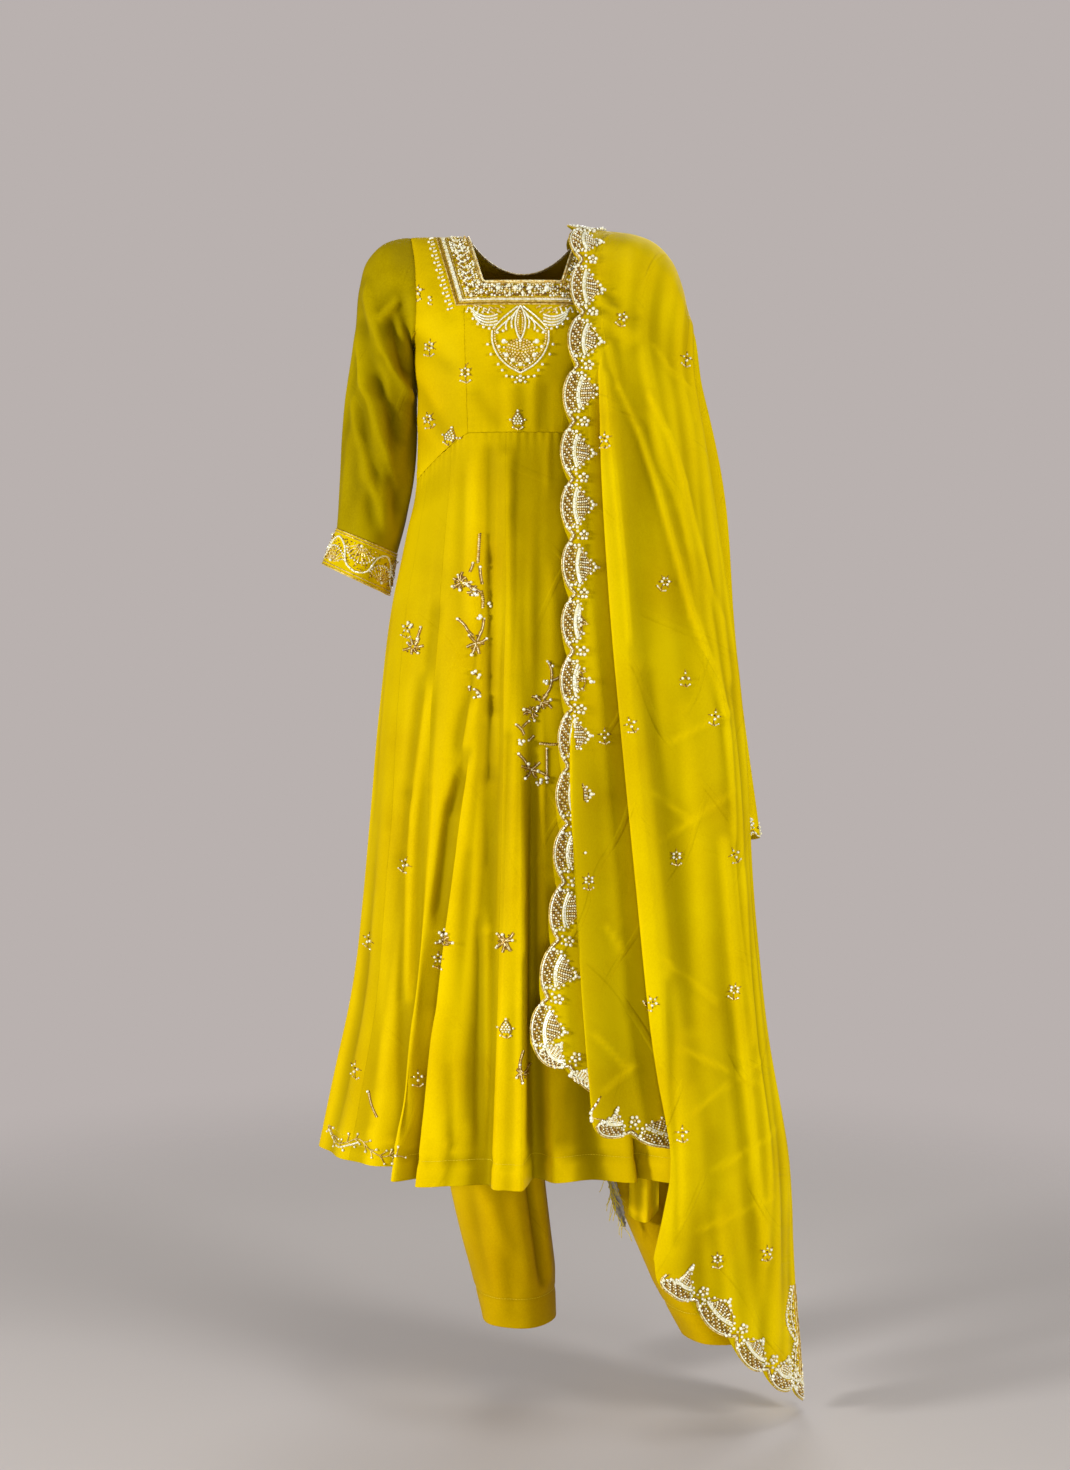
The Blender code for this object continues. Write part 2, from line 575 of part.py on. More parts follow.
def shoulder_point(place):
    """Point of the shoulder line; place runs 0 at the neck to 1 outside the arm."""
    steps = np.linalg.norm(np.diff(SHOULDER_LINE, axis=0), axis=1)
    along = np.concatenate([[0.0], np.cumsum(steps)]) / steps.sum()
    x, z = spline(along, SHOULDER_LINE, np.array([place]))[0]
    return np.array([x, 0.0, z])


def fall_point(line, heights, facing, height):
    """Point of one fold line of the front or back fall at a height."""
    standing, xs = line[1], line[3:]
    x = spline(heights, np.array(xs), height)
    y = hanging_y(x, height, facing) - facing * standing
    return np.stack([x, y, np.broadcast_to(height, x.shape)], axis=-1)


def join_height(place):
    """Height at which the shoulder stretch meets the falls."""
    return JOIN_Z - JOIN_SLOPE * place


def scallop(along):
    """Rounded scallops of the edge, standing out by SCALLOP_DEPTH with sharp notches between."""
    return SCALLOP_DEPTH * np.abs(np.sin(np.pi * along / SCALLOP_PITCH)) ** 0.7


def fall(table, names, heights, facing, rows, top=None, off=0.0):
    """Grid of a hanging stretch through named fold lines, from the shoulder down to its end."""
    grid = []
    for name in names:
        line = table[name]
        start = join_height(line[0]) - JOIN_GAP if top is None else top
        height = between(start, line[2], rows)
        points = fall_point(line, heights, facing, height)
        points[:, 1] -= facing * off
        grid.append(points)
    return np.array(grid).transpose(1, 0, 2)


def across(grid, count):
    """Put smooth columns through the columns of a grid."""
    steps = np.arange(grid.shape[1], dtype=float)
    at = between(0.0, steps[-1], count)
    return np.array([spline(steps, row, at) for row in grid])


def scalloped_end(grid):
    """Cut scallops along the last row."""
    grid = grid.copy()
    end = grid[-1]
    along = np.concatenate([[0.0], np.cumsum(np.linalg.norm(np.diff(end, axis=0), axis=1))])
    grid[-1, :, 2] -= scallop(along) - SCALLOP_DEPTH / 2
    return grid


def scalloped_side(grid):
    """Cut scallops along the first column, toward the neck: rows are half a scallop apart."""
    grid = grid.copy()
    along = np.arange(len(grid)) * SCALLOP_PITCH / 2
    grid[:, 0, 0] -= scallop(along) - SCALLOP_DEPTH / 2
    return grid


def with_turned_edge(grid, facing):
    """Add the strip that turns back behind the outer fold of a fall."""
    turned = grid[:, -1] + np.array([-0.3 * TURNED_EDGE, facing * 0.95 * TURNED_EDGE, 0.0])
    turned[-1, 2] += 0.3 * TURNED_EDGE
    turned[0, 2] -= 0.3 * TURNED_EDGE
    return np.concatenate([grid, turned[:, None]], axis=1)


def over_shoulder(places, rows):
    """Stretch that lies over the shoulder between the two falls."""
    grid = []
    for place in places:
        join = join_height(place)
        ends = []
        for table, heights, facing in ((FRONT_LINES, FRONT_Z, 1), (BACK_LINES, BACK_Z, -1)):
            lines = sorted(line for name, line in table.items() if name != "inner_end")
            known = np.array([line[0] for line in lines])
            standing = np.interp(place, known, [line[1] for line in lines])
            for height in (join - 0.08, join):
                xs = [float(spline(heights, np.array(line[3:]), height)) for line in lines]
                x = np.interp(place, known, xs)
                y = hanging_y(x, height, facing) - facing * standing
                ends.append(np.array([x, float(y), height]))
        top = shoulder_point(place)
        rise = max(top[2] - join, 0.02)
        ahead = np.array([(ends[1][0] + top[0]) / 2, ends[1][1] * 0.66, join + rise * 0.76])
        behind = np.array([(ends[3][0] + top[0]) / 2, ends[3][1] * 0.66, join + rise * 0.76])
        path = np.array([ends[0], ends[1], ahead, top, behind, ends[3], ends[2]])
        lengths = np.linalg.norm(np.diff(path, axis=0), axis=1)
        along = np.concatenate([[0.0], np.cumsum(lengths)])
        at = between(along[1], along[5], rows)
        grid.append(spline(along, path, at))
    return np.array(grid).transpose(1, 0, 2)


# ---------------------------------------------------------------- build
for old in list(bpy.data.objects):
    bpy.data.objects.remove(old)
bpy.context.scene.collection.children.link(parts)

crepe = finish_material("yellow_georgette", YELLOW, 0.55)
sheer = finish_material("sheer_georgette", SHEER_YELLOW, 0.60)
satin = finish_material("satin_lining", LINING_YELLOW, 0.40)
zari = finish_material("gold_zari", GOLD_ZARI, 0.35, 0.8)
canvas = finish_material("lining_wrong_side", WRONG_SIDE, 0.85)

half_seam = SEAM_GAP / 2
front = centre_front()
sheet("bodice_front_centre", drawn_in(front, half_seam, first=True, last=True), crepe)
back = centre_back()
sheet("bodice_back_centre", drawn_in(back, half_seam, first=True, last=True, top=True), crepe)
for side, word in ((-1, "right"), (1, "left")):
    for facing, where in ((1, "front"), (-1, "back")):
        panel = side_panel(facing, side)
        panel = drawn_in(panel, half_seam + 0.0002, first=True, last=True, top=True)
        sheet(f"bodice_{where}_{word}", panel, crepe)

neck_piping(zari)

for name, first, last in KALIS:
    sheet(name, kali(first, last), crepe)

for side, word, rings, cuff_rings in (
    (-1, "right", RIGHT_SLEEVE, RIGHT_CUFF),
    (1, "left", LEFT_SLEEVE, LEFT_CUFF),
):
    sheet(f"sleeve_{word}", sleeve(rings, side), sheer, closed=True)
    cuff = np.array([sleeve_ring(row, side, 14) for row in cuff_rings])
    sheet(f"cuff_{word}", cuff, sheer, closed=True)

sheet("lining_tail", lining_tail(), satin)
sheet("lining_raw_edge", lining_raw_edge(), canvas)

for side, word, rings in ((-1, "right", RIGHT_LEG), (1, "left", LEFT_LEG)):
    sheet(f"trouser_{word}", leg(rings, side), crepe)
sheet("trouser_waistband", waistband(), crepe, closed=True)

inner = fall(FRONT_LINES, ("inner_edge", "border", "pleat_edge", "pleat_trough", "inner_end"),
             FRONT_Z, 1, 26)
inner = scalloped_end(scalloped_side(across(inner, 9)))
sheet("dupatta_inner_fall", inner, sheer)
pleat = fall(FRONT_LINES, ("pleat_edge", "pleat_trough", "inner_end"), FRONT_Z, 1, 12,
             top=PLEAT_TOP_Z, off=PLEAT_STANDS)
sheet("dupatta_inner_pleat", across(pleat, 5), sheer)
outer = fall(FRONT_LINES, ("outer_edge", "outer_trough", "outer_ridge", "second_trough",
                           "second_ridge", "third_trough", "outer_fold"), FRONT_Z, 1, 16)
outer = with_turned_edge(scalloped_end(across(outer, 14)), 1)
sheet("dupatta_outer_fall", outer, sheer)
behind = fall(BACK_LINES, tuple(BACK_LINES), BACK_Z, -1, 9)
behind = with_turned_edge(scalloped_end(across(behind, 15)), -1)
sheet("dupatta_back_fall", behind, sheer)
saddle = over_shoulder(between(0.0, 1.0, 11), 9)
sheet("dupatta_shoulder", scalloped_side(saddle), sheer)
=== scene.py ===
"""The look of a salwar kameez suit, worn: kameez, trousers and dupatta in yellow georgette.

Metres, +Z up.  The origin is on the shoulder line above the middle of the neck.  The front faces
-Y, and +X is the wearer's left.  Each section below makes one piece or one group of like pieces.
The tables of outlines, creases, stems and motifs are written in mm.
"""

import math
from collections import defaultdict

import bpy
import numpy as np
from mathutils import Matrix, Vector
from mathutils.bvhtree import BVHTree


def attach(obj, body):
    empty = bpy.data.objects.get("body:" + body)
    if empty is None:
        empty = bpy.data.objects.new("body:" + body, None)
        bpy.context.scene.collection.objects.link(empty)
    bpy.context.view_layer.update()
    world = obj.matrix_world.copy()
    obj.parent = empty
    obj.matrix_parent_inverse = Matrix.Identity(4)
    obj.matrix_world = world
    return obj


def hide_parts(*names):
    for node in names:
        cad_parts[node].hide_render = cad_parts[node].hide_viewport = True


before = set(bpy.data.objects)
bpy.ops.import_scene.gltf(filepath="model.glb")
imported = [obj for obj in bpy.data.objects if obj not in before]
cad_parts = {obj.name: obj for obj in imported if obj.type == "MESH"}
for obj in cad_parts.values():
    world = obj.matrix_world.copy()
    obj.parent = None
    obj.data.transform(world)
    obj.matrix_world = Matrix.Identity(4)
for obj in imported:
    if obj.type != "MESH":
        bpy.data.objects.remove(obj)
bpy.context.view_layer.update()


# ---- camera
# The camera stands in front of the suit at about hip height and looks down a little, which is
# how a full-length dress is usually shown on a stand.
CAMERA_PLACE = (0.0155, -2.58, -0.52)
CAMERA_TILT = 2.62          # degrees below the horizon
CAMERA_LENS = 48.73         # mm, on a 36 mm frame

camera_data = bpy.data.cameras.new("camera")
camera_data.lens = CAMERA_LENS
camera_data.sensor_width = 36
camera_data.sensor_fit = "AUTO"
camera_data.clip_start = 0.05


def stand(name, data):
    """Put an object in the scene."""
    made = bpy.data.objects.new(name, data)
    bpy.context.scene.collection.objects.link(made)
    return made


camera = stand("camera", camera_data)
camera.location = CAMERA_PLACE
camera.rotation_euler = (math.radians(90 - CAMERA_TILT), 0, 0)
bpy.context.scene.camera = camera


# ---- bodice
# The bodice is georgette over a cotton lining, cut in a front, a back and four side panels.
# They are sewn face to face with the allowances turned in, so each seam lies a little below
# the cloth beside it and gathers it slightly.
WALL = 0.0008               # georgette and its lining
SEAM_GAP = 0.00015          # from the seam line to the edge of each piece
SEAM_DIP = 0.0007           # how far the cloth sinks at a seam
SEAM_REACH = 0.0035         # how far from the seam it does
PUCKER = 0.00035            # gathers along a seam
PUCKER_PITCH = 0.011
PUCKER_REACH = 0.012
CHEST_SEAM_Z = -0.258       # raised waist seam in front
SIDE_SEAM_Z = -0.312        # where it meets the side seams and goes round the back
NECK_BOTTOM_Z = -0.072
NECK_BACK_Z = -0.034
NECK_CORNER_X = 0.049
NECK_TOP_X = 0.07
PRINCESS_X = 0.068          # seam between front and side panel at the waist seam
PRINCESS_TOP_Z = -0.108
PRINCESS_TOP_X = 0.072
UNDERARM_Z = -0.136
ARMHOLE_INSET = 33          # degrees

# Height, half width, depth in front and behind, squareness
BODICE = np.array([
    (-350, 140, 96, 96, 2.3), (-312, 137, 98, 93, 2.3), (-258, 135, 103, 92, 2.3),
    (-200, 136, 116, 96, 2.4), (-150, 138, 122, 101, 2.5), (-110, 146, 110, 103, 2.8),
    (-72, 151, 91, 98, 3), (-42, 151, 68, 84, 3), (-18, 149, 44, 60, 3), (-4, 146, 20, 32, 3),
    (1, 143, 1, 8, 3),
]) / (1e3, 1e3, 1e3, 1e3, 1)
# Drag lines of the front, as soft troughs and ridges: x and z at one end, x and z at the
# other, half width, height out of the cloth (- is a trough)
BODICE_CREASES = [
    (-150, -125, -85, -185, 10, -1.9), (-148, -145, -100, -225, 9, 1.6),
    (-136, -190, -98, -262, 11, -1.7), (-132, -230, -90, -285, 9, 1.2),
    (-118, -60, -86, -128, 12, -1.4), (-60, -205, -30, -252, 10, -1.4), (-22, -196, -16, -256, 7, 1.1),
    (-4, -200, 0, -256, 7, -1.2), (14, -190, 12, -256, 6, 1.1), (30, -200, 26, -256, 8, -1.2),
    (150, -120, 90, -180, 10, -1.7), (140, -170, 98, -240, 10, 1.5), (-60, -120, -40, -190, 12, 0.7),
]


def spline(knots, values, at):
    """Smooth curve through values (one row per knot), read at any places."""
    knots = np.asarray(knots, float)
    values = np.asarray(values, float)
    if knots[0] > knots[-1]:
        knots, values = knots[::-1], values[::-1]
    slopes = np.gradient(values, knots, axis=0)
    at = np.clip(np.asarray(at, float), knots[0], knots[-1])
    cell = np.clip(np.searchsorted(knots, at, side="right") - 1, 0, len(knots) - 2)
    width = knots[cell + 1] - knots[cell]
    part = (at - knots[cell]) / width
    if values.ndim > 1:
        width, part = width[..., None], part[..., None]
    start = (2 * part**3 - 3 * part**2 + 1) * values[cell]
    start_slope = (part**3 - 2 * part**2 + part) * width * slopes[cell]
    end = (3 * part**2 - 2 * part**3) * values[cell + 1]
    end_slope = (part**3 - part**2) * width * slopes[cell + 1]
    return start + start_slope + end + end_slope


def smooth_step(part):
    part = np.clip(part, 0, 1)
    return part * part * (3 - 2 * part)


def edge_length(line):
    """Way along a line of points, or down the columns of a grid, up to each point."""
    steps = np.linalg.norm(np.diff(line, axis=0), axis=-1)
    return np.concatenate([0 * steps[:1], np.cumsum(steps, axis=0)])


def at_way(way, along, line):
    """Point of a line at a way along it."""
    return np.array([np.interp(way, along, axis) for axis in np.transpose(line)])


def unit(vectors, least=1e-12):
    return vectors / np.maximum(np.linalg.norm(vectors, axis=-1, keepdims=True), least)


def round_turn(count):
    """Even angles of a full turn."""
    return np.linspace(0, 2 * np.pi, count + 1)[:-1]


def linear(hex_colour):
    """Linear opaque colour of an sRGB hex value."""
    channels = [int(hex_colour[i:i + 2], 16) / 255 for i in (1, 3, 5)]
    return *(c / 12.92 if c <= 0.04045 else ((c + 0.055) / 1.055) ** 2.4 for c in channels), 1


def add_node(tree, kind, values=None, wires=None, **settings):
    """Add a node with its settings, the values of its sockets and the wires into them."""
    made = tree.nodes.new(kind)
    for name, value in settings.items():
        setattr(made, name, value)
    for name, value in (values or {}).items():
        made.inputs[name].default_value = value
    for name, source in (wires or {}).items():
        tree.links.new(source, made.inputs[name])
    return made


HOLLOW_PAINTED_SHADE = 0.56            # share of the dye kept in a hollow, as painted shade
CREST_PAINTED_LIGHT = 1.26             # and along a crest, as painted light
# Press creases left by folding: turn from upright in radians, distance apart in metres
PRESS_LINES = [(0.62, 0.085), (-0.48, 0.07), (1.15, 0.11)]
WAVE_PERIOD = 2 * math.pi / 20      # distance between the bands of the wave texture at scale 1


def paint_of(name):
    """New material: itself, its tree, its shader and the place it is read at."""
    material = bpy.data.materials.new(name)
    material.use_nodes = True
    tree = material.node_tree
    place = add_node(tree, "ShaderNodeTexCoord").outputs["Object"]
    return material, tree, tree.nodes["Principled BSDF"], place


def two_tones(tree, level, low, dark, high, light):
    """Colour that goes from dark at a low level to light at a high one."""
    made = add_node(tree, "ShaderNodeValToRGB", None, {"Fac": level})
    for stop, position, colour in zip(made.color_ramp.elements, (low, high), (dark, light)):
        stop.position = position
        stop.color = linear(colour)
    return made.outputs["Color"]


def set_inputs(shader, **values):
    for name, value in values.items():
        shader.inputs[name.replace("_", " ")].default_value = value


def georgette(name, lit, deep, roughness, sheen, crease_depth):
    """Crepe-twisted yarns in a plain weave, piece-dyed: a soft, slightly grainy face, with painted
    light on the crests of its folds and painted shade in their hollows.

    The crepe grain of the real cloth is 0.3 mm, too fine to show, and is drawn at about 1.2 mm.
    Press creases are long thin ridges that come and go, crease_depth high in metres.
    """
    material, tree, shader, place = paint_of(name)

    def noise(scale, detail, at=place, distortion=0):
        return add_node(tree, "ShaderNodeTexNoise", {"Scale": scale, "Detail": detail,
                        "Distortion": distortion}, {"Vector": at}).outputs["Fac"]

    def eased(value, low, high):
        return add_node(tree, "ShaderNodeMapRange", {"From Min": low, "From Max": high},
                        {"Value": value}, interpolation_type="SMOOTHSTEP").outputs[0]

    def bump(strength, distance, height, **under):
        return add_node(tree, "ShaderNodeBump", {"Strength": strength, "Distance": distance},
                        {"Height": height, **under}).outputs["Normal"]

    both = add_node(tree, "ShaderNodeMath", {1: 0.35}, {0: noise(420, 2), 2: noise(9, 3)},
                    operation="MULTIPLY_ADD")
    dye = two_tones(tree, both.outputs[0], 0.45, deep, 0.85, lit)
    # Painted light and shade of the folds: the dye is painted brighter along a crest and darker in a
    # hollow; along a crest a sheer cloth also looks denser
    lie = add_node(tree, "ShaderNodeAttribute", attribute_name="lie").outputs["Fac"]
    fold_shading_scale = add_node(tree, "ShaderNodeMapRange", {"From Min": -1, "From Max": 1,
                     "To Min": HOLLOW_PAINTED_SHADE, "To Max": CREST_PAINTED_LIGHT}, {"Value": lie})
    shaded = add_node(tree, "ShaderNodeVectorMath", None,
                      {0: dye, "Scale": fold_shading_scale.outputs[0]}, operation="SCALE")
    tree.links.new(shaded.outputs[0], shader.inputs["Base Color"])
    set_inputs(shader, Roughness=roughness, Specular_IOR_Level=0.05,
               Specular_Tint=linear("#FFE81E"), Sheen_Weight=sheen, Sheen_Roughness=0.45,
               Sheen_Tint=linear("#FFE500"))
    surface = bump(0.5, crease_depth * 2, noise(26, 2, distortion=0.8))
    for turn, period in PRESS_LINES:
        turned = add_node(tree, "ShaderNodeMapping", {"Rotation": (0, turn, 0)},
                          {"Vector": place}).outputs[0]
        wave = add_node(tree, "ShaderNodeTexWave", {"Scale": WAVE_PERIOD / period, "Distortion": 2.4,
                        "Detail": 1, "Detail Scale": 1.4}, {"Vector": turned})
        faint = add_node(tree, "ShaderNodeMath", None, {
            0: eased(wave.outputs["Fac"], 0.972, 1),
            1: eased(noise(7 + 3 * turn, 1, turned), 0.50, 0.64)}, operation="MULTIPLY")
        surface = bump(1, crease_depth, faint.outputs[0], Normal=surface)
    tree.links.new(bump(0.3, 0.0004, noise(820, 1), Normal=surface), shader.inputs["Normal"])
    return material


def normals_of(grid):
    """Unit normals of a grid of points, turned away from the suit's upright axis."""
    normal = unit(np.cross(np.gradient(grid, axis=1), np.gradient(grid, axis=0)))
    middle = grid.reshape(-1, 3)[:, :2].mean(axis=0) * 0.5
    outward = ((grid[..., :2] - middle) * normal[..., :2]).sum()
    return normal if outward > 0 else -normal


def raised(grid, height, normals=normals_of):
    """Grid moved out along its normals by a height at each point."""
    return grid + normals(grid) * height[..., None]


def creases(grid, table):
    """Height of the soft troughs and ridges of a table at each point of a grid, seen along Y."""
    height = np.zeros(grid.shape[:2])
    for row in table:
        x1, z1, x2, z2, width, rise = np.array(row) / 1e3
        line = np.array([x2 - x1, z2 - z1])
        length = np.linalg.norm(line)
        away = grid[..., (0, 2)] - (x1, z1)
        along = (away @ line) / length**2
        near = np.clip(along, 0, 1)
        gap = np.linalg.norm(away - near[..., None] * line, axis=-1)
        fade = smooth_step(along * 3 + 0.5) * smooth_step((1 - along) * 3 + 0.5)
        height += rise * np.exp(-(gap / width) ** 2) * fade
    return height


def seam_dip(grid, first=False, last=False, top=False, bottom=False):
    """How far the cloth sinks along the named sewn edges of a grid, gathered as it goes."""
    along_column, along_row = edge_length(grid), edge_length(grid.transpose(1, 0, 2)).T
    height = np.zeros(grid.shape[:2])
    for sewn, gap, along in (
        (first, along_row, along_column),
        (last, along_row[:, -1:] - along_row, along_column),
        (bottom, along_column, along_row),
        (top, along_column[-1:] - along_column, along_row),
    ):
        if sewn:
            gather = np.sin(along * 2 * np.pi / PUCKER_PITCH + 3 * np.sin(along * 17))
            height -= SEAM_DIP * np.exp(-(gap / SEAM_REACH) ** 2)
            height += PUCKER * gather * np.exp(-gap / PUCKER_REACH)
    return height


def drawn_in(grid, gap, first=False, last=False, top=False, bottom=False):
    """Pull the named edges of a grid back by a gap, along the cloth."""
    grid = grid.copy()
    across = grid.transpose(1, 0, 2)
    for pulled, edges, end, beside in ((first, across, 0, 1), (last, across, -1, -2),
                                       (bottom, grid, 0, 1), (top, grid, -1, -2)):
        if pulled:
            edges[end] += unit(edges[beside] - edges[end], 1e-9) * gap
    return grid


EDGE_CELL = 0.0009          # last cell at an edge, so that the fold of the wall stays crisp


def edge_cells(grid, closed):
    """Add a narrow row and column of cells just inside each open edge of a grid."""
    def inner(edge, neighbour):
        step = neighbour - edge
        long = np.linalg.norm(step, axis=-1, keepdims=True)
        return edge + step * np.minimum(EDGE_CELL / np.maximum(long, 1e-9), 0.5)
    for _ in range(1 if closed else 2):
        grid = np.concatenate([grid[:1], inner(grid[0], grid[1])[None], grid[1:-1],
                               inner(grid[-1], grid[-2])[None], grid[-1:]]).transpose(1, 0, 2)
    return grid.transpose(1, 0, 2) if closed else grid


cloth_grids = {}
# Reach over which crests and hollows are told apart for the painted light and shade of the folds, and
# how high a full one is
FOLD_SHADING_SCALES = [(0.012, 0.0011), (0.038, 0.006)]


def smoothed(grid, reach, closed):
    """Grid of points averaged over a reach, in metres, both ways."""
    for axis in (0, 1):
        step = np.linalg.norm(np.diff(grid, axis=axis), axis=-1).mean()
        half = int(np.clip(round(reach / step), 1, grid.shape[axis] // 2))
        pad = [(0, 0)] * 3
        pad[axis] = (half + 1, half)
        total = np.cumsum(np.pad(grid, pad, mode="wrap" if closed and axis else "edge"), axis=axis)
        long = grid.shape[axis]
        high = np.take(total, np.arange(long) + 2 * half + 1, axis=axis)
        grid = (high - np.take(total, np.arange(long), axis=axis)) / (2 * half + 1)
    return grid


def crests(grid, closed):
    """1 on the crests of the folds of a grid, -1 in their hollows, for painting light on the crests and
    shade in the hollows.
    """
    normal = normals_of(grid)
    lie = np.zeros(grid.shape[:2])
    for reach, full in FOLD_SHADING_SCALES:
        above = ((grid - smoothed(grid, reach, closed)) * normal).sum(axis=-1)
        lie += np.tanh(above / full) / len(FOLD_SHADING_SCALES)
    return lie


def grid_faces(grid, closed=False):
    """Four-sided faces between the points of a grid, row by row."""
    rows, columns = grid.shape[:2]
    row, column = np.meshgrid(np.arange(rows - 1), np.arange(columns - (not closed)), indexing="ij")
    here = (row * columns + column).ravel()
    right = (row * columns + (column + 1) % columns).ravel()
    return np.stack([here, right, right + columns, here + columns], axis=1)


def cloth(name, grid, material, nodes, closed=False, wall=WALL):
    """Make a thin shell from rows of points; it rides on the suit and stands for its CAD nodes."""
    cloth_grids[name] = grid
    grid = edge_cells(grid, closed)
    faces = grid_faces(grid, closed)
    over = grid.shape[1] - (not closed)
    flat = grid.reshape(-1, 3)
    a, b, c = flat[faces[:, 0]], flat[faces[:, 1]], flat[faces[:, 3]]
    out = np.cross(b - a, c - a)
    if (out * normals_of(grid)[:-1, :over].reshape(-1, 3)).sum() < 0:
        faces = faces[:, ::-1]
    mesh = bpy.data.meshes.new(name)
    mesh.from_pydata(flat.tolist(), [], faces.tolist())
    mesh.materials.append(material)
    mesh.shade_smooth()
    # Crests and hollows, for the painted light and shade of the folds
    lie = mesh.attributes.new("lie", "FLOAT", "POINT")
    lie.data.foreach_set("value", crests(grid, closed).ravel())
    piece = stand(name, mesh)
    shell = piece.modifiers.new("cloth_wall", "SOLIDIFY")
    shell.thickness = wall
    shell.offset = 0
    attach(piece, "root")
    if nodes:
        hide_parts(*nodes)
    return piece


BODICE_STEPS = np.linspace(0, len(BODICE) - 1, 400)
BODICE_HEIGHTS = spline(np.arange(len(BODICE)), BODICE, BODICE_STEPS)[:, 0]


def squared_ring(row, angle, height, out=0):
    """Point at an angle round a squared oval, whose row gives its width, depths and squareness."""
    _, width, front, back, square = np.moveaxis(row, -1, 0)
    power = 2 / square
    x = (width + out) * np.sign(np.sin(angle)) * np.abs(np.sin(angle)) ** power
    depth = np.where(np.cos(angle) >= 0, front, back) + out
    y = -depth * np.sign(np.cos(angle)) * np.abs(np.cos(angle)) ** power
    return np.stack([x, y, np.broadcast_to(height, x.shape)], axis=-1)


def bodice_row(height):
    return spline(np.arange(len(BODICE)), BODICE, np.interp(height, BODICE_HEIGHTS, BODICE_STEPS))


def on_bodice(angle, height):
    """Point of the bodice at an angle from the front (radians) and a height."""
    return squared_ring(bodice_row(height), angle, height)


def bodice_angle(x, height, facing):
    """Angle of the point of the bodice that has this x; facing is 1 in front, -1 behind."""
    row = bodice_row(height)
    reach = np.clip(np.abs(x) / row[..., 1], 0, 0.9999)
    angle = np.arcsin(reach ** (row[..., 4] / 2))
    return np.sign(x) * (angle if facing > 0 else np.pi - angle)


def armhole(turn, facing, side):
    """Angle and height on the armhole; turn runs 0 at the underarm to 1 at the shoulder."""
    height = UNDERARM_Z * (0.5 + 0.5 * np.cos(np.pi * turn))
    inset = np.radians(ARMHOLE_INSET) * np.sin(np.pi * np.clip(turn, 0, 1)) ** 0.8
    angle = np.pi / 2 - inset if facing > 0 else np.pi / 2 + inset
    return side * angle, height


SEAM_SQUARENESS = 2.3       # of the bodice at the waist seam
SEAM_BEND = 1.2             # how much the slanting waist seam bows


def waist_drop(angle):
    """Share of its whole drop that the waist seam has made at an angle round the front."""
    half_width = np.interp(SIDE_SEAM_Z, BODICE[:, 0], BODICE[:, 1])
    x = half_width * np.abs(np.sin(angle)) ** (2 / SEAM_SQUARENESS)
    return np.clip((x - PRINCESS_X) / (half_width - PRINCESS_X), 0, 1) ** SEAM_BEND


def side_panel(facing, side, rows=81, columns=26):
    """Side of the bodice, from the princess seam to the side seam, armhole and shoulder."""
    below = 3 / 8           # share of the rows that lie below the underarm
    share = np.linspace(0, 1, rows)
    turn = np.clip((share - below) / (1 - below), 0, 1)
    arm_angle, arm_height = armhole(turn, facing, side)
    low = SIDE_SEAM_Z + (UNDERARM_Z - SIDE_SEAM_Z) * share / below
    outer_height = np.where(share < below, low, arm_height)
    outer_angle = np.where(share < below, side * np.pi / 2, arm_angle)
    if facing > 0:
        knots = np.array([0, 3, 4, 8]) / 8
        heights = [CHEST_SEAM_Z, PRINCESS_TOP_Z, NECK_BOTTOM_Z, 0]
        inner_height = np.interp(share, knots, heights)
        inner_x = np.interp(share, knots, [PRINCESS_X, PRINCESS_TOP_X, NECK_CORNER_X, NECK_TOP_X])
    else:
        inner_height = np.linspace(SIDE_SEAM_Z, 0, rows)
        inner_x = np.full(rows, NECK_TOP_X)
    inner_angle = bodice_angle(side * inner_x, inner_height, facing)
    across = np.linspace(0, 1, columns)
    angle = inner_angle[:, None] + (outer_angle - inner_angle)[:, None] * across
    height = inner_height[:, None] + (outer_height - inner_height)[:, None] * across
    if facing > 0:
        hold = smooth_step(1 - share / below)[:, None]
        seam = CHEST_SEAM_Z + (SIDE_SEAM_Z - CHEST_SEAM_Z) * waist_drop(angle[0])
        height += (seam - height[0]) * hold
    return on_bodice(angle, height)


def centre_front(rows=45, columns=41):
    heights = np.linspace(CHEST_SEAM_Z, NECK_BOTTOM_Z, rows)
    edges = np.interp(heights, [CHEST_SEAM_Z, PRINCESS_TOP_Z, NECK_BOTTOM_Z],
                      [PRINCESS_X, PRINCESS_TOP_X, NECK_CORNER_X])
    x = edges[:, None] * np.linspace(-1, 1, columns)
    height = np.broadcast_to(heights[:, None], x.shape)
    return on_bodice(bodice_angle(x, height, 1), height)


def centre_back(rows=81, columns=35):
    """Back panel between the two side backs, scooped at the neckline."""
    share = np.linspace(0, 1, rows)[:, None]
    x = np.broadcast_to(np.linspace(-NECK_TOP_X, NECK_TOP_X, columns), (rows, columns))
    x = np.where(np.abs(x) < 1e-9, 1e-9, x)
    height = SIDE_SEAM_Z * (1 - share) + NECK_BACK_Z * (1 - (x / NECK_TOP_X) ** 2) * share**2
    return on_bodice(bodice_angle(x, height, -1), height)


crepe = georgette("lined_georgette", "#CDB000", "#BE9E00", 0.55, 0.05, 0.0004)

sewn = {"first": True, "last": True, "bottom": True}
front = centre_front()
front = raised(front, creases(front, BODICE_CREASES) + seam_dip(front, **sewn))
piece = cloth("front_panel", drawn_in(front, SEAM_GAP, **sewn), crepe,
              ["bodice_front_centre"])

back = centre_back()
back = raised(back, seam_dip(back, **sewn))
piece = cloth("back_panel", drawn_in(back, SEAM_GAP, **sewn), crepe,
              ["bodice_back_centre"])

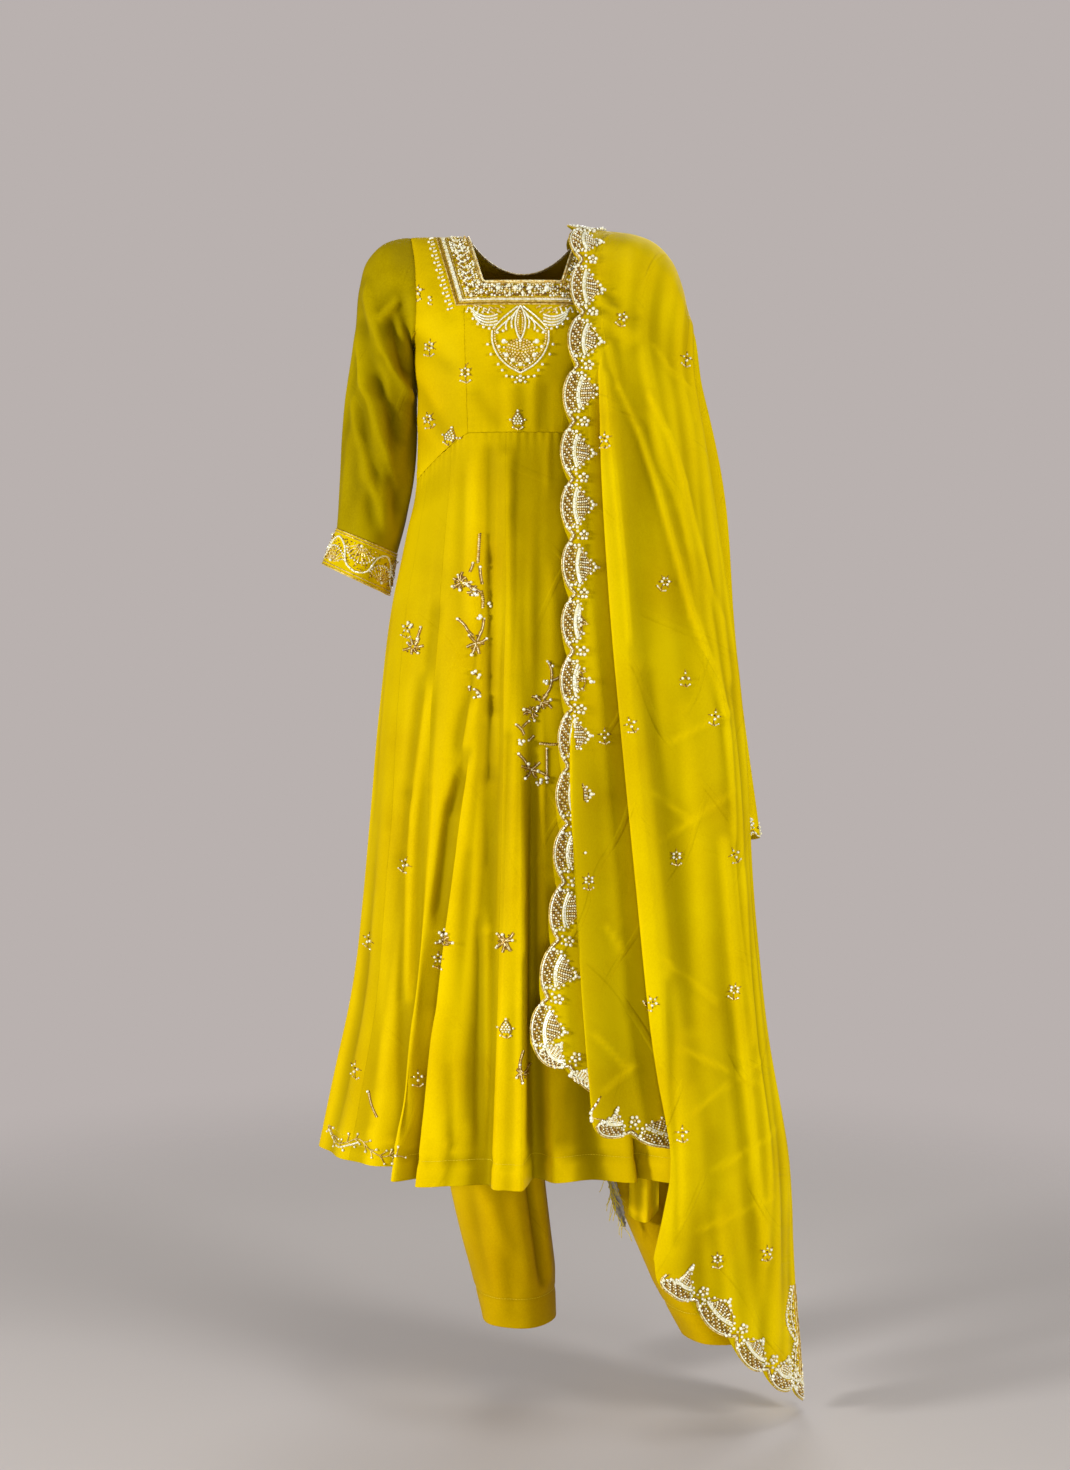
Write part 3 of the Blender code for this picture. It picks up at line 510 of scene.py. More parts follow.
for side, word in ((-1, "right"), (1, "left")):
    for facing, where in ((1, "front"), (-1, "back")):
        panel = side_panel(facing, side)
        height = creases(panel, BODICE_CREASES if facing > 0 else []) + seam_dip(panel, **sewn)
        panel = drawn_in(raised(panel, height), SEAM_GAP, top=True, **sewn)
        piece = cloth(f"{where}_side_panel_{word}", panel, crepe,
                      [f"bodice_{where}_{word}"])


# ---- skirt
# The skirt is eight flared panels, cut wide at the hem and sewn to the raised waist seam, over a
# lining.  It falls in deep soft folds that start a little below the seam and widen to the hem.
HEM_Z = -1.184
FOLD_EASE = 0.75            # share of a smooth step over which a fold grows to the hem
SEAM_HOLDS = 0.07           # share of the drop over which the skirt leaves the bodice
HEM_DEPTH = 0.031           # from the hem edge up to its line of stitches
HEM_DIP = 0.0013            # how far the stitches draw the cloth in
HEM_DIP_REACH = 0.0032      # and how far up and down
# The right side hangs a little shorter than the front: fold and how much shorter
HEM_FOLDS = [0, 3, 8, 11, 11.6, 36]
HEM_RAISED = [0, 0, 0.011, 0.012, 0, 0]

# Height, half width, depth in front, depth behind, squareness
SKIRT = np.array([
    (-200, 135, 107, 92, 2.3), (-258, 135, 103, 92, 2.3), (-312, 137, 101, 93, 2.3),
    (-360, 146, 107, 106, 2.2), (-410, 156, 114, 118, 2.1), (-463, 167, 119, 128, 2),
    (-593, 182, 129, 142, 2), (-749, 193, 139, 152, 2), (-853, 202, 147, 160, 2),
    (-984, 218, 158, 170, 2), (-1083, 238, 167, 180, 2), (-1184, 259, 176, 190, 2),
]) / (1e3, 1e3, 1e3, 1e3, 1)
# Angle at the seam, angle at the hem (degrees, 0 in front and + to the wearer's left), how far
# the fold stands out at the hem, and where down the skirt it starts (0 to 1)
SKIRT_FOLDS = np.array([
    (-172, -174, 14, 0.15), (-158, -161, -32, 0.1), (-145, -147, 16, 0.12), (-131, -135, -26, 0.1),
    (-118, -121, 18, 0.08), (-106, -108, -20, 0.1), (-90, -93, 10, 0.02), (-79, -76, -3, 0.3),
    (-66, -64, 2, 0.15), (-55, -54, -3, 0.2), (-48, -48, 0, 0.25), (-43, -40, -13, 0.3),
    (-33, -36.5, 10, 0.3), (-16, -31, -20, 0.22), (-11.5, -27.5, 20, 0.2), (-10, -20, 4, 0.1),
    (-8, -10.5, -10, 0.15), (-5, -6, 12, 0.1), (-1.5, -0.5, 16, 0.2), (3, 4, -42, 0.18),
    (8, 10, -20, 0.12), (14, 21, -26, 0.12), (20, 32, 4, 0.3), (23, 36.5, -14, 0.35),
    (29, 41.5, 34, 0.12), (39, 51, -16, 0.1), (50, 60, 12, 0.1), (63, 70, -18, 0.12),
    (77, 81, 12, 0.08), (90, 93, -14, 0.12), (104, 106, 14, 0.1), (118, 120, -24, 0.1),
    (131, 133, 16, 0.12), (144, 146, -24, 0.08), (157, 159, 16, 0.1), (170, 172, -22, 0.12),
]) / (1, 1, 1e3, 1)
# Name, first and last fold, width at the waist seam and at the hem when laid flat
KALIS = [
    ("kali_back_right", 0.5, 4.5, 0.105, 0.27),
    ("kali_side_right", 4.5, 8.5, 0.105, 0.21),
    ("kali_front_right", 8.5, 11.5, 0.04, 0.095),
    ("kali_front_centre", 11.5, 16.5, 0.07, 0.17),
    ("kali_front_left", 16.5, 22.5, 0.08, 0.21),
    ("kali_side_left", 22.5, 27.5, 0.095, 0.2),
    ("kali_back_left", 27.5, 32.5, 0.115, 0.27),
    ("kali_back_centre", 32.5, 36.5, 0.12, 0.26),
]
# The cloth hangs almost smooth at the right side, round this fold
CALM_FOLD = 9.2
CALM_REACH = 2.2
CALM_SHARE = 0.85
# Small breaks in the long folds of the front, in the form of BODICE_CREASES
SKIRT_CREASES = [
    (-43, -275, -42, -420, 9, -5), (-42, -410, -39, -600, 9, -8), (-39, -590, -42, -690, 8.5, -8.5),
    (-42, -680, -46, -860, 10, -6), (-20, -290, -16, -620, 8, 5), (-60, -300, -62, -520, 9, 4),
    (-58, -590, -76, -680, 7, 5), (-66, -650, -90, -730, 7, -6), (-90, -720, -106, -860, 8, -5),
    (-85, -300, -92, -420, 12, 1.2), (-12, -262, -14, -350, 6, 1), (30, -262, 31, -330, 6, 1.2),
    (-112, -300, -128, -430, 14, -1.6), (36, -420, 36, -640, 8, 2.2), (-104, -470, -120, -560, 10, -3),
    (-126, -560, -146, -710, 8, -5), (-146, -700, -154, -800, 7.5, -6),
    (-154, -790, -153, -960, 7.5, -5), (-153, -950, -146, -1120, 8, -3.5),
    (-116, -580, -136, -740, 7, 4), (-136, -730, -144, -960, 6.5, 3.8),
    (-172, -760, -174, -1060, 10, 2.6), (-196, -900, -225, -1130, 16, -2.2),
    (-118, -700, -128, -980, 10, -2.2), (-68, -780, -66, -1100, 14, -4),
    (-54, -860, -52, -1130, 6, -3.6), (-44, -800, -46, -1150, 6, 3), (-112, -980, -104, -1160, 10, 2.6),
    (-90, -1040, -86, -1170, 8, -2.2), (-10, -560, -8, -830, 9, -1.8), (55, -1060, 48, -1170, 8, -2.2),
    (95, -1090, 110, -1180, 10, 2), (-118, -1112, -80, -1146, 6, 1.6), (30, -1120, 48, -1152, 6, 1.4),
    (-195, -1130, -150, -1150, 6, 1.4),
]


def waist_seam(angle):
    """Top edge of the skirt: level in front, down to the side seam, level behind."""
    ahead = np.abs(angle) < np.pi / 2
    return CHEST_SEAM_Z + (SIDE_SEAM_Z - CHEST_SEAM_Z) * np.where(ahead, waist_drop(angle), 1)


def skirt_point(fold, drop):
    """Point of the skirt: fold counts along SKIRT_FOLDS, drop runs 0 at the seam to 1 at the hem."""
    count = len(SKIRT_FOLDS)
    first = np.floor(fold).astype(int)
    part = fold - first
    left = SKIRT_FOLDS[first % count]
    right = SKIRT_FOLDS[(first + 1) % count]
    spread = smooth_step(drop * 1.25)

    def fold_angle(row, extra):
        return row[..., 0] + extra + (row[..., 1] - row[..., 0]) * spread

    def fold_depth(row):
        grown = (drop - row[..., 3]) / (1 - row[..., 3])
        return row[..., 2] * smooth_step(grown * FOLD_EASE) / smooth_step(FOLD_EASE)

    angle = (1 - part) * fold_angle(left, 360 * (first // count))
    angle = angle + part * fold_angle(right, 360 * ((first + 1) // count))
    angle = np.radians((angle + 180) % 360 - 180)
    swell = 0.5 - 0.5 * np.cos(np.pi * part)
    depth = (1 - swell) * fold_depth(left) + swell * fold_depth(right)
    top = waist_seam(angle) - SEAM_GAP
    hem = HEM_Z + np.interp(fold % count, HEM_FOLDS, HEM_RAISED)
    height = top + (hem - top) * drop
    hung = squared_ring(spline(SKIRT[:, 0], SKIRT, height), angle, height, depth)
    held = (1 - smooth_step(drop / SEAM_HOLDS))[..., None]
    return hung + (on_bodice(angle, height) - hung) * held


def sway(fold, drop):
    """Long uneven waves of the hanging cloth, larger toward the hem."""
    wave = np.sin(fold * 2.1 + 3 * drop) + 0.7 * np.sin(fold * 3.7 - 5 * drop + 1.3)
    wave = wave + 0.5 * np.sin(fold * 5.9 + 9 * drop + 0.4)
    calm = 1 - CALM_SHARE * np.exp(-((fold - CALM_FOLD) / CALM_REACH) ** 4)
    return 0.0016 * wave * calm * smooth_step(drop * 1.6)


for name, first, last, top_width, hem_width in KALIS:
    columns = int((last - first) * 15) + 1
    fold, drop = np.meshgrid(np.linspace(first, last, columns), np.linspace(0, 1, 90))
    between = np.sin(np.pi * (fold - first) / (last - first))
    wander = 0.07 * np.sin(7 * drop + 1.9 * fold) * smooth_step(drop * 3) * between
    panel = skirt_point(fold + wander, drop)
    height = sway(fold, drop) + seam_dip(panel, bottom=True)
    if "front" in name or "side" in name:
        height += np.where(panel[..., 1] < 0.02, creases(panel, SKIRT_CREASES), 0)
    height -= HEM_DIP * np.exp(-((panel[..., 2] - HEM_Z - HEM_DEPTH) / HEM_DIP_REACH) ** 2)
    piece = cloth(name.replace("kali", "skirt_panel"), raised(panel, height), crepe,
                  [name])


# ---- sleeves
# Elbow sleeves of a single layer of georgette, with no lining, sewn into the armholes.  They hang
# from the shoulder point, so drag folds run from the armhole down the inside of the arm.
# Outer edge x, z; inner edge x, z; half depth; y of the middle.  The last row ends the cuff.
RIGHT_SLEEVE = np.array([
    (177, -7, 140, -143, 61, 4), (199, -27, 137.6, -158, 62, 8), (210, -60, 137.2, -178, 61, 12),
    (216, -115, 137.2, -208, 58, 18), (229, -206, 138, -258, 56, 26), (237, -296, 146.5, -330, 54, 30),
    (243, -369, 165, -402, 51, 30), (262, -416, 175, -457, 53, 30),
]) / 1e3
LEFT_SLEEVE = np.array([
    (166, -16, 151, -139, 56, 2), (181, -40, 151, -150, 57, 5), (189, -76, 148, -168, 56, 8),
    (194, -125, 145, -198, 53, 10), (203, -206, 143.5, -250, 51, 10), (210, -300, 150, -326, 49, 10),
    (218, -380, 164, -402, 47, 12), (226, -432, 174, -448, 48, 14),
]) / 1e3
ARMHOLE_ALLOWANCE = 0.006
SLEEVE_COLUMNS = 96
SLEEVE_LENGTH = 0.42
# Drag folds, in the form of BODICE_CREASES, for the wearer's right sleeve
SLEEVE_CREASES = [
    (-156, -88, -180, -112, 5, 5), (-200, -70, -174, -150, 8, 6.2), (-178, -138, -148, -206, 8, 6.4),
    (-166, -112, -146, -176, 7.5, -8.5), (-206, -110, -180, -205, 8.5, -5),
    (-186, -180, -156, -262, 8.5, -6), (-214, -120, -197, -205, 8.5, 5),
    (-200, -180, -168, -300, 8.5, 6.2), (-210, -200, -186, -320, 8.5, -4.8),
    (-220, -200, -198, -325, 8.5, 4), (-170, -285, -158, -350, 8, -4),
    (-188, -310, -164, -400, 8.5, 4.4), (-204, -310, -186, -395, 8.5, -3.4),
    (-226, -250, -222, -365, 9, 2.4), (-198, -60, -180, -135, 3.6, 2.2),
    (-182, -128, -166, -172, 3.6, 2.6), (-168, -166, -140, -212, 3.6, 2.8),
    (-212, -135, -198, -200, 3.6, 2.2), (-199, -192, -184, -252, 3.6, 2.6),
    (-185, -244, -160, -320, 3.6, 2.6), (-219, -205, -207, -265, 3.6, 2),
    (-208, -257, -190, -330, 3.6, 2.4), (-192, -322, -172, -395, 3.6, 2.2),
    (-158, -88, -178, -108, 3.2, 2.2),
]


def sleeve_ring(row, side):
    """Ring of a sleeve or cuff between its outer and inner edges, from the outside round."""
    outer_x, outer_z, inner_x, inner_z, depth, middle_y = row
    turn = round_turn(SLEEVE_COLUMNS)
    x = (outer_x + inner_x) / 2 + (outer_x - inner_x) / 2 * np.cos(turn)
    z = (outer_z + inner_z) / 2 + (outer_z - inner_z) / 2 * np.cos(turn)
    y = middle_y + depth * np.sin(turn)
    return np.stack([side * x, y, z], axis=-1)


def sleeve(rings, side):
    """Sleeve sewn into the armhole, with its seam allowance turned in behind the armhole edge."""
    turns = np.linspace(0, 1, SLEEVE_COLUMNS // 2 + 1)
    behind = on_bodice(*armhole(turns[::-1], -1, side))
    ahead = on_bodice(*armhole(turns, 1, side))[1:-1]
    head = np.concatenate([behind, ahead])
    allowance = head + (head.mean(axis=0) - head) * 0.025 - (side * ARMHOLE_ALLOWANCE, 0, 0)
    tube = np.array([allowance, head] + [sleeve_ring(row, side) for row in rings])
    along = edge_length(tube.mean(axis=1))
    flat = spline(along, tube.reshape(len(tube), -1), np.linspace(0, along[-1], 80))
    return flat.reshape(80, SLEEVE_COLUMNS, 3)


def ring_normals(grid):
    """Normals of a closed tube of rings, away from its own middle."""
    across = np.roll(grid, -1, axis=1) - np.roll(grid, 1, axis=1)
    normal = unit(np.cross(across, np.gradient(grid, axis=0)))
    outward = ((grid - grid.mean(axis=1, keepdims=True)) * normal).sum()
    return normal if outward > 0 else -normal


sheer = georgette("single_georgette", "#CEB400", "#C0A200", 0.56, 0.06, 0.001)
# Over the arm the single layer lets the dark behind it through, and looks olive
sleeve_sheer = georgette("single_georgette_sleeve", "#A08B00", "#877300", 0.58, 0.05, 0.0006)

for side, word, rings in ((-1, "right", RIGHT_SLEEVE), (1, "left", LEFT_SLEEVE)):
    tube = sleeve(rings[:-1], side)
    mirrored = [(-side * x1, z1, -side * x2, z2, w, h) for x1, z1, x2, z2, w, h in SLEEVE_CREASES]
    turn = round_turn(SLEEVE_COLUMNS)
    down = np.linspace(0, 1, len(tube))[:, None]
    facing = smooth_step(np.abs(ring_normals(tube)[..., 1]) * 1.6)
    height = creases(tube, mirrored) * np.where(tube[..., 1] < 0.05, facing, 0.6 * facing)
    height += 0.0016 * np.sin(5 * turn + 4 * down) * np.sin(np.pi * down)
    height += 0.001 * np.sin(9 * turn - 7 * down + 1) * smooth_step(down * 2)
    height -= 0.001 * np.exp(-(down * SLEEVE_LENGTH / 0.008) ** 2)
    height *= smooth_step((1 - down) * 8)
    tube = raised(tube, height, ring_normals)
    piece = cloth(f"elbow_sleeve_{word}", drawn_in(tube, 0.0004, top=True, bottom=True), sleeve_sheer,
                  [f"sleeve_{word}"], closed=True, wall=0.0005)
    upper, lower = (sleeve_ring(row, side) for row in rings[-2:])
    share = np.linspace(0, 1, 13)[:, None, None]
    cuff = upper * (1 - share) + lower * share
    ripple = 0.0012 * np.sin(3 * turn + 1) + 0.0008 * np.sin(7 * turn)
    cuff = raised(cuff, ripple * share[..., 0], ring_normals)
    piece = cloth(f"cuff_band_{word}", cuff, sheer, [f"cuff_{word}"],
                  closed=True, wall=0.0011)


# ---- lining
# The kameez is lined in satin.  One corner of the lining hangs below the hem in front of the left
# leg, and beside it is a raw, frayed strip of its seam allowance.
TAIL_TOP = -1.010
TAIL_END = -1.246
# Raw strip, from its end up: height, x of its two edges
RAW_EDGE = np.array([(-1253, 125, 130), (-1228, 114, 127), (-1190, 106, 116), (-1150, 100, 112)]) / 1e3

satin = georgette("lining_satin", "#F0CE08", "#E0BC00", 0.36, 0, 0.0002)
wrong_side = georgette("lining_wrong_side", "#A39C8E", "#847D70", 0.85, 0, 0.0004)

share, height = np.meshgrid(np.linspace(0, 1, 25), np.linspace(TAIL_TOP, TAIL_END, 60))
ripple = 0.003 * np.sin(2.6 * np.pi * share) + 0.0015 * np.sin(5 * np.pi * share + 14 * height)
tail = np.stack([0.133 + 0.038 * share + 0.004 * (height - TAIL_END) / (TAIL_TOP - TAIL_END),
                 -0.086 - 0.12 * (TAIL_TOP - height) + ripple, height], axis=-1)
tail[..., 2] += 0.012 * (2 * share - 0.9) ** 2 * smooth_step((-1.15 - height) / 0.096)
tail[..., 1] += 0.005 * smooth_step((-1.232 - height) / 0.014)
piece = cloth("lining_corner", tail, satin, ["lining_tail"], wall=0.0007)

share, height = np.meshgrid(np.linspace(0, 1, 9), np.linspace(RAW_EDGE[-1, 0], RAW_EDGE[0, 0], 40))
left, right = at_way(height, RAW_EDGE[:, 0], RAW_EDGE[:, 1:])
x = left + (right - left) * share + 0.0008 * np.sin(height * 900)
y = -0.104 - 0.002 * share + 0.0012 * np.sin(9 * share + 90 * height)
strip = np.stack([x, y, height], axis=-1)
piece = cloth("frayed_allowance", strip, wrong_side, ["lining_raw_edge"],
              wall=0.0006)


# ---- trousers
# Straight narrow trousers in the same cloth, a front and a back joined at the inside and outside
# of each leg, with a turned hem and an elastic waistband.  Only the shins show below the kameez.
# Height, centre x, centre y, half width, half depth
RIGHT_LEG = np.array([
    (-1400, -6, 0, 49, 58), (-1335, -14, 0, 55, 62), (-1231, -34, 0, 61, 66), (-1050, -58, 0, 67, 74),
    (-850, -75, 0, 73, 85), (-700, -78, 0, 76.8, 94),
]) / 1e3
LEFT_LEG = np.array([
    (-1398, 252, -68, 50, 56), (-1335, 219, -55, 53, 60), (-1226, 173, -36, 55, 62),
    (-1050, 122, -16, 61, 70), (-850, 90, -4, 73, 85), (-700, 78, 0, 76.8, 94),
]) / 1e3
# Height, half width of the pair, half depth
HIPS = np.array([(-600, 160, 100), (-500, 143, 94), (-400, 122, 84)]) / 1e3
LEG_GAP = 0.0012            # from the middle to each side of the centre seam

# The trousers are a single layer of the same crepe, painted darker than the kameez: painted shade for
# the shade they stand in below it
trouser_crepe_painted_shade = georgette("trouser_crepe_painted_shade", "#BE9C00", "#AC8800", 0.58, 0.04, 0.0004)
WAISTBAND_WIDTH = 0.038
TROUSER_HEM_DEPTH = 0.037
# Creases of the shins, in the form of BODICE_CREASES
LEG_CREASES = [
    (6, -1190, 26, -1345, 5, -7.5), (18, -1190, 34, -1345, 6, 4), (-10, -1190, 8, -1345, 10, 3),
    (-60, -1200, -20, -1300, 10, 2.8), (-70, -1230, -40, -1370, 10, -2.4),
    (-30, -1210, -16, -1380, 10, -2.2), (130, -1210, 230, -1390, 12, 3),
    (160, -1200, 260, -1380, 10, -3),
]


def leg(rings, side):
    """One leg with its half of the hips: closed round below the fork, open at the centre above."""
    turn = np.linspace(0, 2 * np.pi, 65)
    level = np.ones(65)
    grid = [(x - side * width * np.cos(turn), y - depth * np.sin(turn), height * level)
            for height, x, y, width, depth in rings]
    grid += [(side * (LEG_GAP + (width - LEG_GAP) * np.sin(turn / 2)), -depth * np.cos(turn / 2),
              height * level) for height, width, depth in HIPS]
    grid = np.array(grid).transpose(0, 2, 1)
    knots = grid[:, 0, 2]
    heights = np.concatenate([np.linspace(knots[0], -1.15, 60), np.linspace(-1.14, knots[-1], 50)])
    flat = at_way(heights, knots, grid.reshape(len(grid), -1)).T
    return flat.reshape(len(heights), 65, 3)


for side, word, rings in ((-1, "right", RIGHT_LEG), (1, "left", LEFT_LEG)):
    tube = leg(rings, side)
    across = np.linspace(0, 1, tube.shape[1])
    below = smooth_step((-1.1 - tube[..., 2]) / 0.08)
    ripple = 0.0014 * np.sin(10 * np.pi * across + 30 * tube[..., 2]) * np.sin(np.pi * across)
    height = (creases(tube, LEG_CREASES) + ripple) * below
    above_hem = tube[..., 2] - tube[0, 0, 2]
    height -= HEM_DIP * np.exp(-((above_hem - TROUSER_HEM_DEPTH) / 0.003) ** 2)
    tube = raised(tube, height, ring_normals)
    piece = cloth(f"trouser_leg_{word}", tube, trouser_crepe_painted_shade, [f"trouser_{word}"])

height, width, depth = HIPS[-1]
turn = round_turn(180)
gathers = 1 + 0.012 * np.sin(60 * turn)
ring = np.stack([width * gathers * np.cos(turn), depth * gathers * np.sin(turn), 0 * turn], axis=-1)
levels = np.linspace(height + LEG_GAP, height + WAISTBAND_WIDTH, 7)
band = np.array([ring + (0, 0, level) for level in levels])
piece = cloth("waist_casing", band, trouser_crepe_painted_shade, ["trouser_waistband"], closed=True,
              wall=0.0014)


# ---- dupatta
# One length of single georgette with a scalloped edge all round.  It is folded lengthwise, laid
# over the left shoulder, and falls to the shin in front and to the hip behind.  The front fall has
# one deep fold, which opens below the shoulder, so that the beaded edge lies behind the outer part.
SCALLOP_PITCH = 0.07
SCALLOP_DEPTH = 0.016
SCALLOP_ROUND = 0.62        # below 1 the bellies are flat and the notches sharp
SCALLOP_START = 0.15        # part of a scallop that is left over at the start of an edge
SCALLOP_REACH = 0.045       # how far in from the edge the cloth is drawn by a scallop

# Surface on which it hangs: height, half width, depth in front, depth behind
HANG = np.array([
    (-60, 212, 90, 106), (-150, 238, 134, 126), (-250, 258, 143, 132), (-386, 276, 149, 146),
    (-489, 290, 151, 160), (-580, 302, 154, 172), (-670, 313, 159, 180), (-775, 326, 166, 188),
    (-850, 330, 172, 192), (-980, 338, 184, 200), (-1100, 352, 198, 206), (-1184, 364, 206, 210),
    (-1300, 372, 204, 210), (-1470, 384, 198, 210),
]) / 1e3
HANG_SQUARENESS = 2.4
# Over the shoulder, from the neck to the outside of the arm: x, z
SHOULDER_LINE = np.array([
    (56, 14), (75, 11), (100, 8), (140, 3), (168, -7), (190, -29), (203, -58), (214, -104),
]) / 1e3
FRONT_Z = np.array([-107, -263, -455, -655, -856, -1009, -1161, -1312, -1460]) / 1e3
BACK_Z = np.array([-107, -300, -500, -650, -780]) / 1e3
# Fold lines of the front fall: place across the cloth at the shoulder (0 at the neck), how far it
# stands off the hanging surface, height of its end, then x at each height of FRONT_Z
FRONT_LINES = np.array([
    (0, 0, -1004, 58, 46, 48, 42, 31, 6, 0, 0, 0), (0.06, 4, -1034, 72, 64, 64, 54, 48, 34, 30, 30, 30),
    (0.11, 8, -1066, 81, 77, 72, 66, 74, 84, 90, 90, 90),
    (0.12, 20, -1104, 84, 80, 75, 60, 67, 78, 90, 90, 90),
    (0.16, 4, -1124, 90, 89, 89, 92, 104, 116, 126, 130, 130),
    (0.19, 0, -1150, 96, 116, 124, 142, 168, 180, 190, 190, 190),
    (0.2, 17, -1272, 98, 95, 105, 121, 144, 158, 177, 150, 140),
    (0.25, 27, -1308, 106, 107, 122, 138, 161, 176, 192, 182, 180),
    (0.31, 18, -1336, 117, 124, 140, 166, 192, 206, 220, 213, 210),
    (0.4, 20, -1378, 130, 150, 175, 206, 226, 242, 257, 252, 250),
    (0.52, 26, -1418, 146, 174, 208, 244, 262, 280, 296, 290, 286),
    (0.72, 22, -1447, 172, 202, 230, 261, 275, 293, 314, 318, 320),
    (1, 6, -1478, 202, 229, 256, 280, 292, 308, 334, 341, 356),
]) / ([1] + [1e3] * 11)
# Fold lines of the back fall, the same columns with BACK_Z
BACK_LINES = np.array([
    (0, 0, -770, 58, 52, 48, 46, 44), (0.1, 12, -776, 82, 82, 84, 86, 88),
    (0.17, 2, -772, 98, 106, 114, 118, 122), (0.28, 15, -780, 122, 136, 148, 156, 162),
    (0.4, 3, -776, 144, 168, 184, 194, 202), (0.56, 14, -784, 166, 200, 220, 232, 242),
    (0.76, 4, -778, 192, 232, 254, 268, 282), (1, 4, -786, 217, 260, 281, 299, 315),
]) / ([1] + [1e3] * 7)
TURNED_EDGE = 0.034         # cloth that turns back behind the outer fold
FOLD_OPENS = 0.13           # length over which a fold opens
FOLD_TOP = -0.15           # height at which the deep fold starts to open
PLEAT_PLACES = (0.1, 0.17)  # the small pleat of the inner part lies between these places
PLEAT_TOP = -0.58           # and starts at this height
DUPATTA_COLUMNS = 116
DUPATTA_ROWS = 330
# Press creases and small drapes of the front fall, in the form of BODICE_CREASES
DUPATTA_CREASES = [
    # The long slanting fold from the border to the outer edge, sharp on its outer side
    (104, -150, 116, -212, 5, 3), (115, -207, 140, -262, 4.6, 3.8), (139, -258, 164, -332, 4.4, 4.2),
    (163, -328, 190, -420, 4.4, 4.4), (189, -416, 208, -486, 4.8, 4.6),
    (207, -482, 233, -547, 5.5, 4.6), (232, -544, 250, -610, 6, 4), (250, -606, 262, -760, 6.5, 3.4),
    (148, -250, 180, -345, 7, -1.6), (179, -340, 224, -490, 7.5, -2), (118, -240, 148, -350, 12, -0.6),
    (147, -345, 190, -500, 13, -0.8),
    # A second one outside it
    (154, -216, 177, -264, 4.2, 2.8), (176, -260, 199, -326, 4.2, 3.4),
    (198, -322, 218, -406, 4.4, 3.4), (217, -402, 246, -492, 4.8, 3.4), (245, -488, 258, -570, 5.5, 3),
    (190, -235, 236, -400, 9, -1.2),
    # A fine one beside the outer edge
    (101, -190, 105, -268, 3.6, 2.2), (105, -264, 110, -318, 3.6, 2.6),
    (110, -314, 120, -413, 3.6, 2.6), (120, -409, 130, -520, 4, 2.2),
    # From the border at the shoulder
    (88, -82, 122, -104, 4.5, -2.4), (90, -94, 116, -114, 4.5, 1.8), (98, -120, 140, -150, 14, 3),
    (94, -160, 104, -240, 6, 2.8), (160, -150, 184, -186, 3.2, 1.6), (183, -184, 208, -206, 3.2, 1.8),
    (207, -204, 214, -244, 3.2, 1.4),
    # Long soft folds of the lower part
    (150, -560, 200, -980, 11, -3.4), (200, -600, 232, -1100, 15, 2.6), (178, -930, 188, -1240, 8, -4),
    (246, -760, 262, -960, 7, 4), (261, -950, 284, -1150, 7, 4.4), (283, -1140, 300, -1280, 7.5, 4),
    (252, -960, 272, -1150, 8, -3), (271, -800, 284, -1010, 5.5, 3.2), (270, -1160, 300, -1400, 10, -3),
    (205, -1060, 226, -1300, 11, 2.4), (236, -1200, 268, -1400, 9, 2.4),
    # Creases of the pressed and handled cloth
    (100, -860, 126, -900, 3.5, 1.3), (88, -990, 132, -1040, 4, 1.5), (98, -1060, 140, -1030, 4, 1.5),
    (190, -1010, 290, -1060, 3.5, 1.4), (200, -1090, 300, -1030, 3.5, 1.3),
    (230, -1160, 320, -1120, 3.5, 1.4), (170, -900, 240, -960, 3.5, 1.3),
    (210, -1230, 310, -1200, 3.5, 1.3), (180, -640, 260, -600, 3.5, 1.2),
    (170, -760, 260, -700, 3.5, 1.3), (160, -700, 210, -740, 3.5, 1.2),
]


def hanging_y(x, height, facing):
    """Depth of the hanging surface at x and a height; facing is 1 in front, -1 behind."""
    width, front, back = (spline(HANG[:, 0], HANG[:, column], height) for column in (1, 2, 3))
    depth = front if facing > 0 else back
    flat = 1 - np.clip(np.abs(x) / width, 0, 0.999) ** HANG_SQUARENESS
    return -facing * depth * flat ** (1 / HANG_SQUARENESS)


def shoulder_point(place):
    along = edge_length(SHOULDER_LINE)
    x, z = spline(along / along[-1], SHOULDER_LINE, place).T
    return np.stack([x, 0 * x, z], axis=-1)


def fall(lines, heights, facing, places, rows):
    """Grid of a hanging stretch, from its end up to the shoulder."""
    join = -0.105 - 0.075 * lines[:, 0]
    knots = []
    for line, top in zip(lines, join):
        height = np.linspace(line[2], top, rows)
        x = spline(heights, line[3:], height)
        opened = smooth_step((FOLD_TOP - height) / FOLD_OPENS) if facing > 0 else 1
        if facing > 0 and PLEAT_PLACES[0] < line[0] < PLEAT_PLACES[1]:
            opened = smooth_step((PLEAT_TOP - height) / FOLD_OPENS)
        y = hanging_y(x, height, facing) - facing * (line[1] * opened + 0.004 * (1 - opened))
        knots.append(np.stack([x, y, height], axis=-1))
    knots = np.array(knots)
    at = np.interp(places, lines[:, 0], np.arange(len(lines)))
    return spline(np.arange(len(lines)), knots.reshape(len(lines), -1), at).reshape(
        len(places), rows, 3)


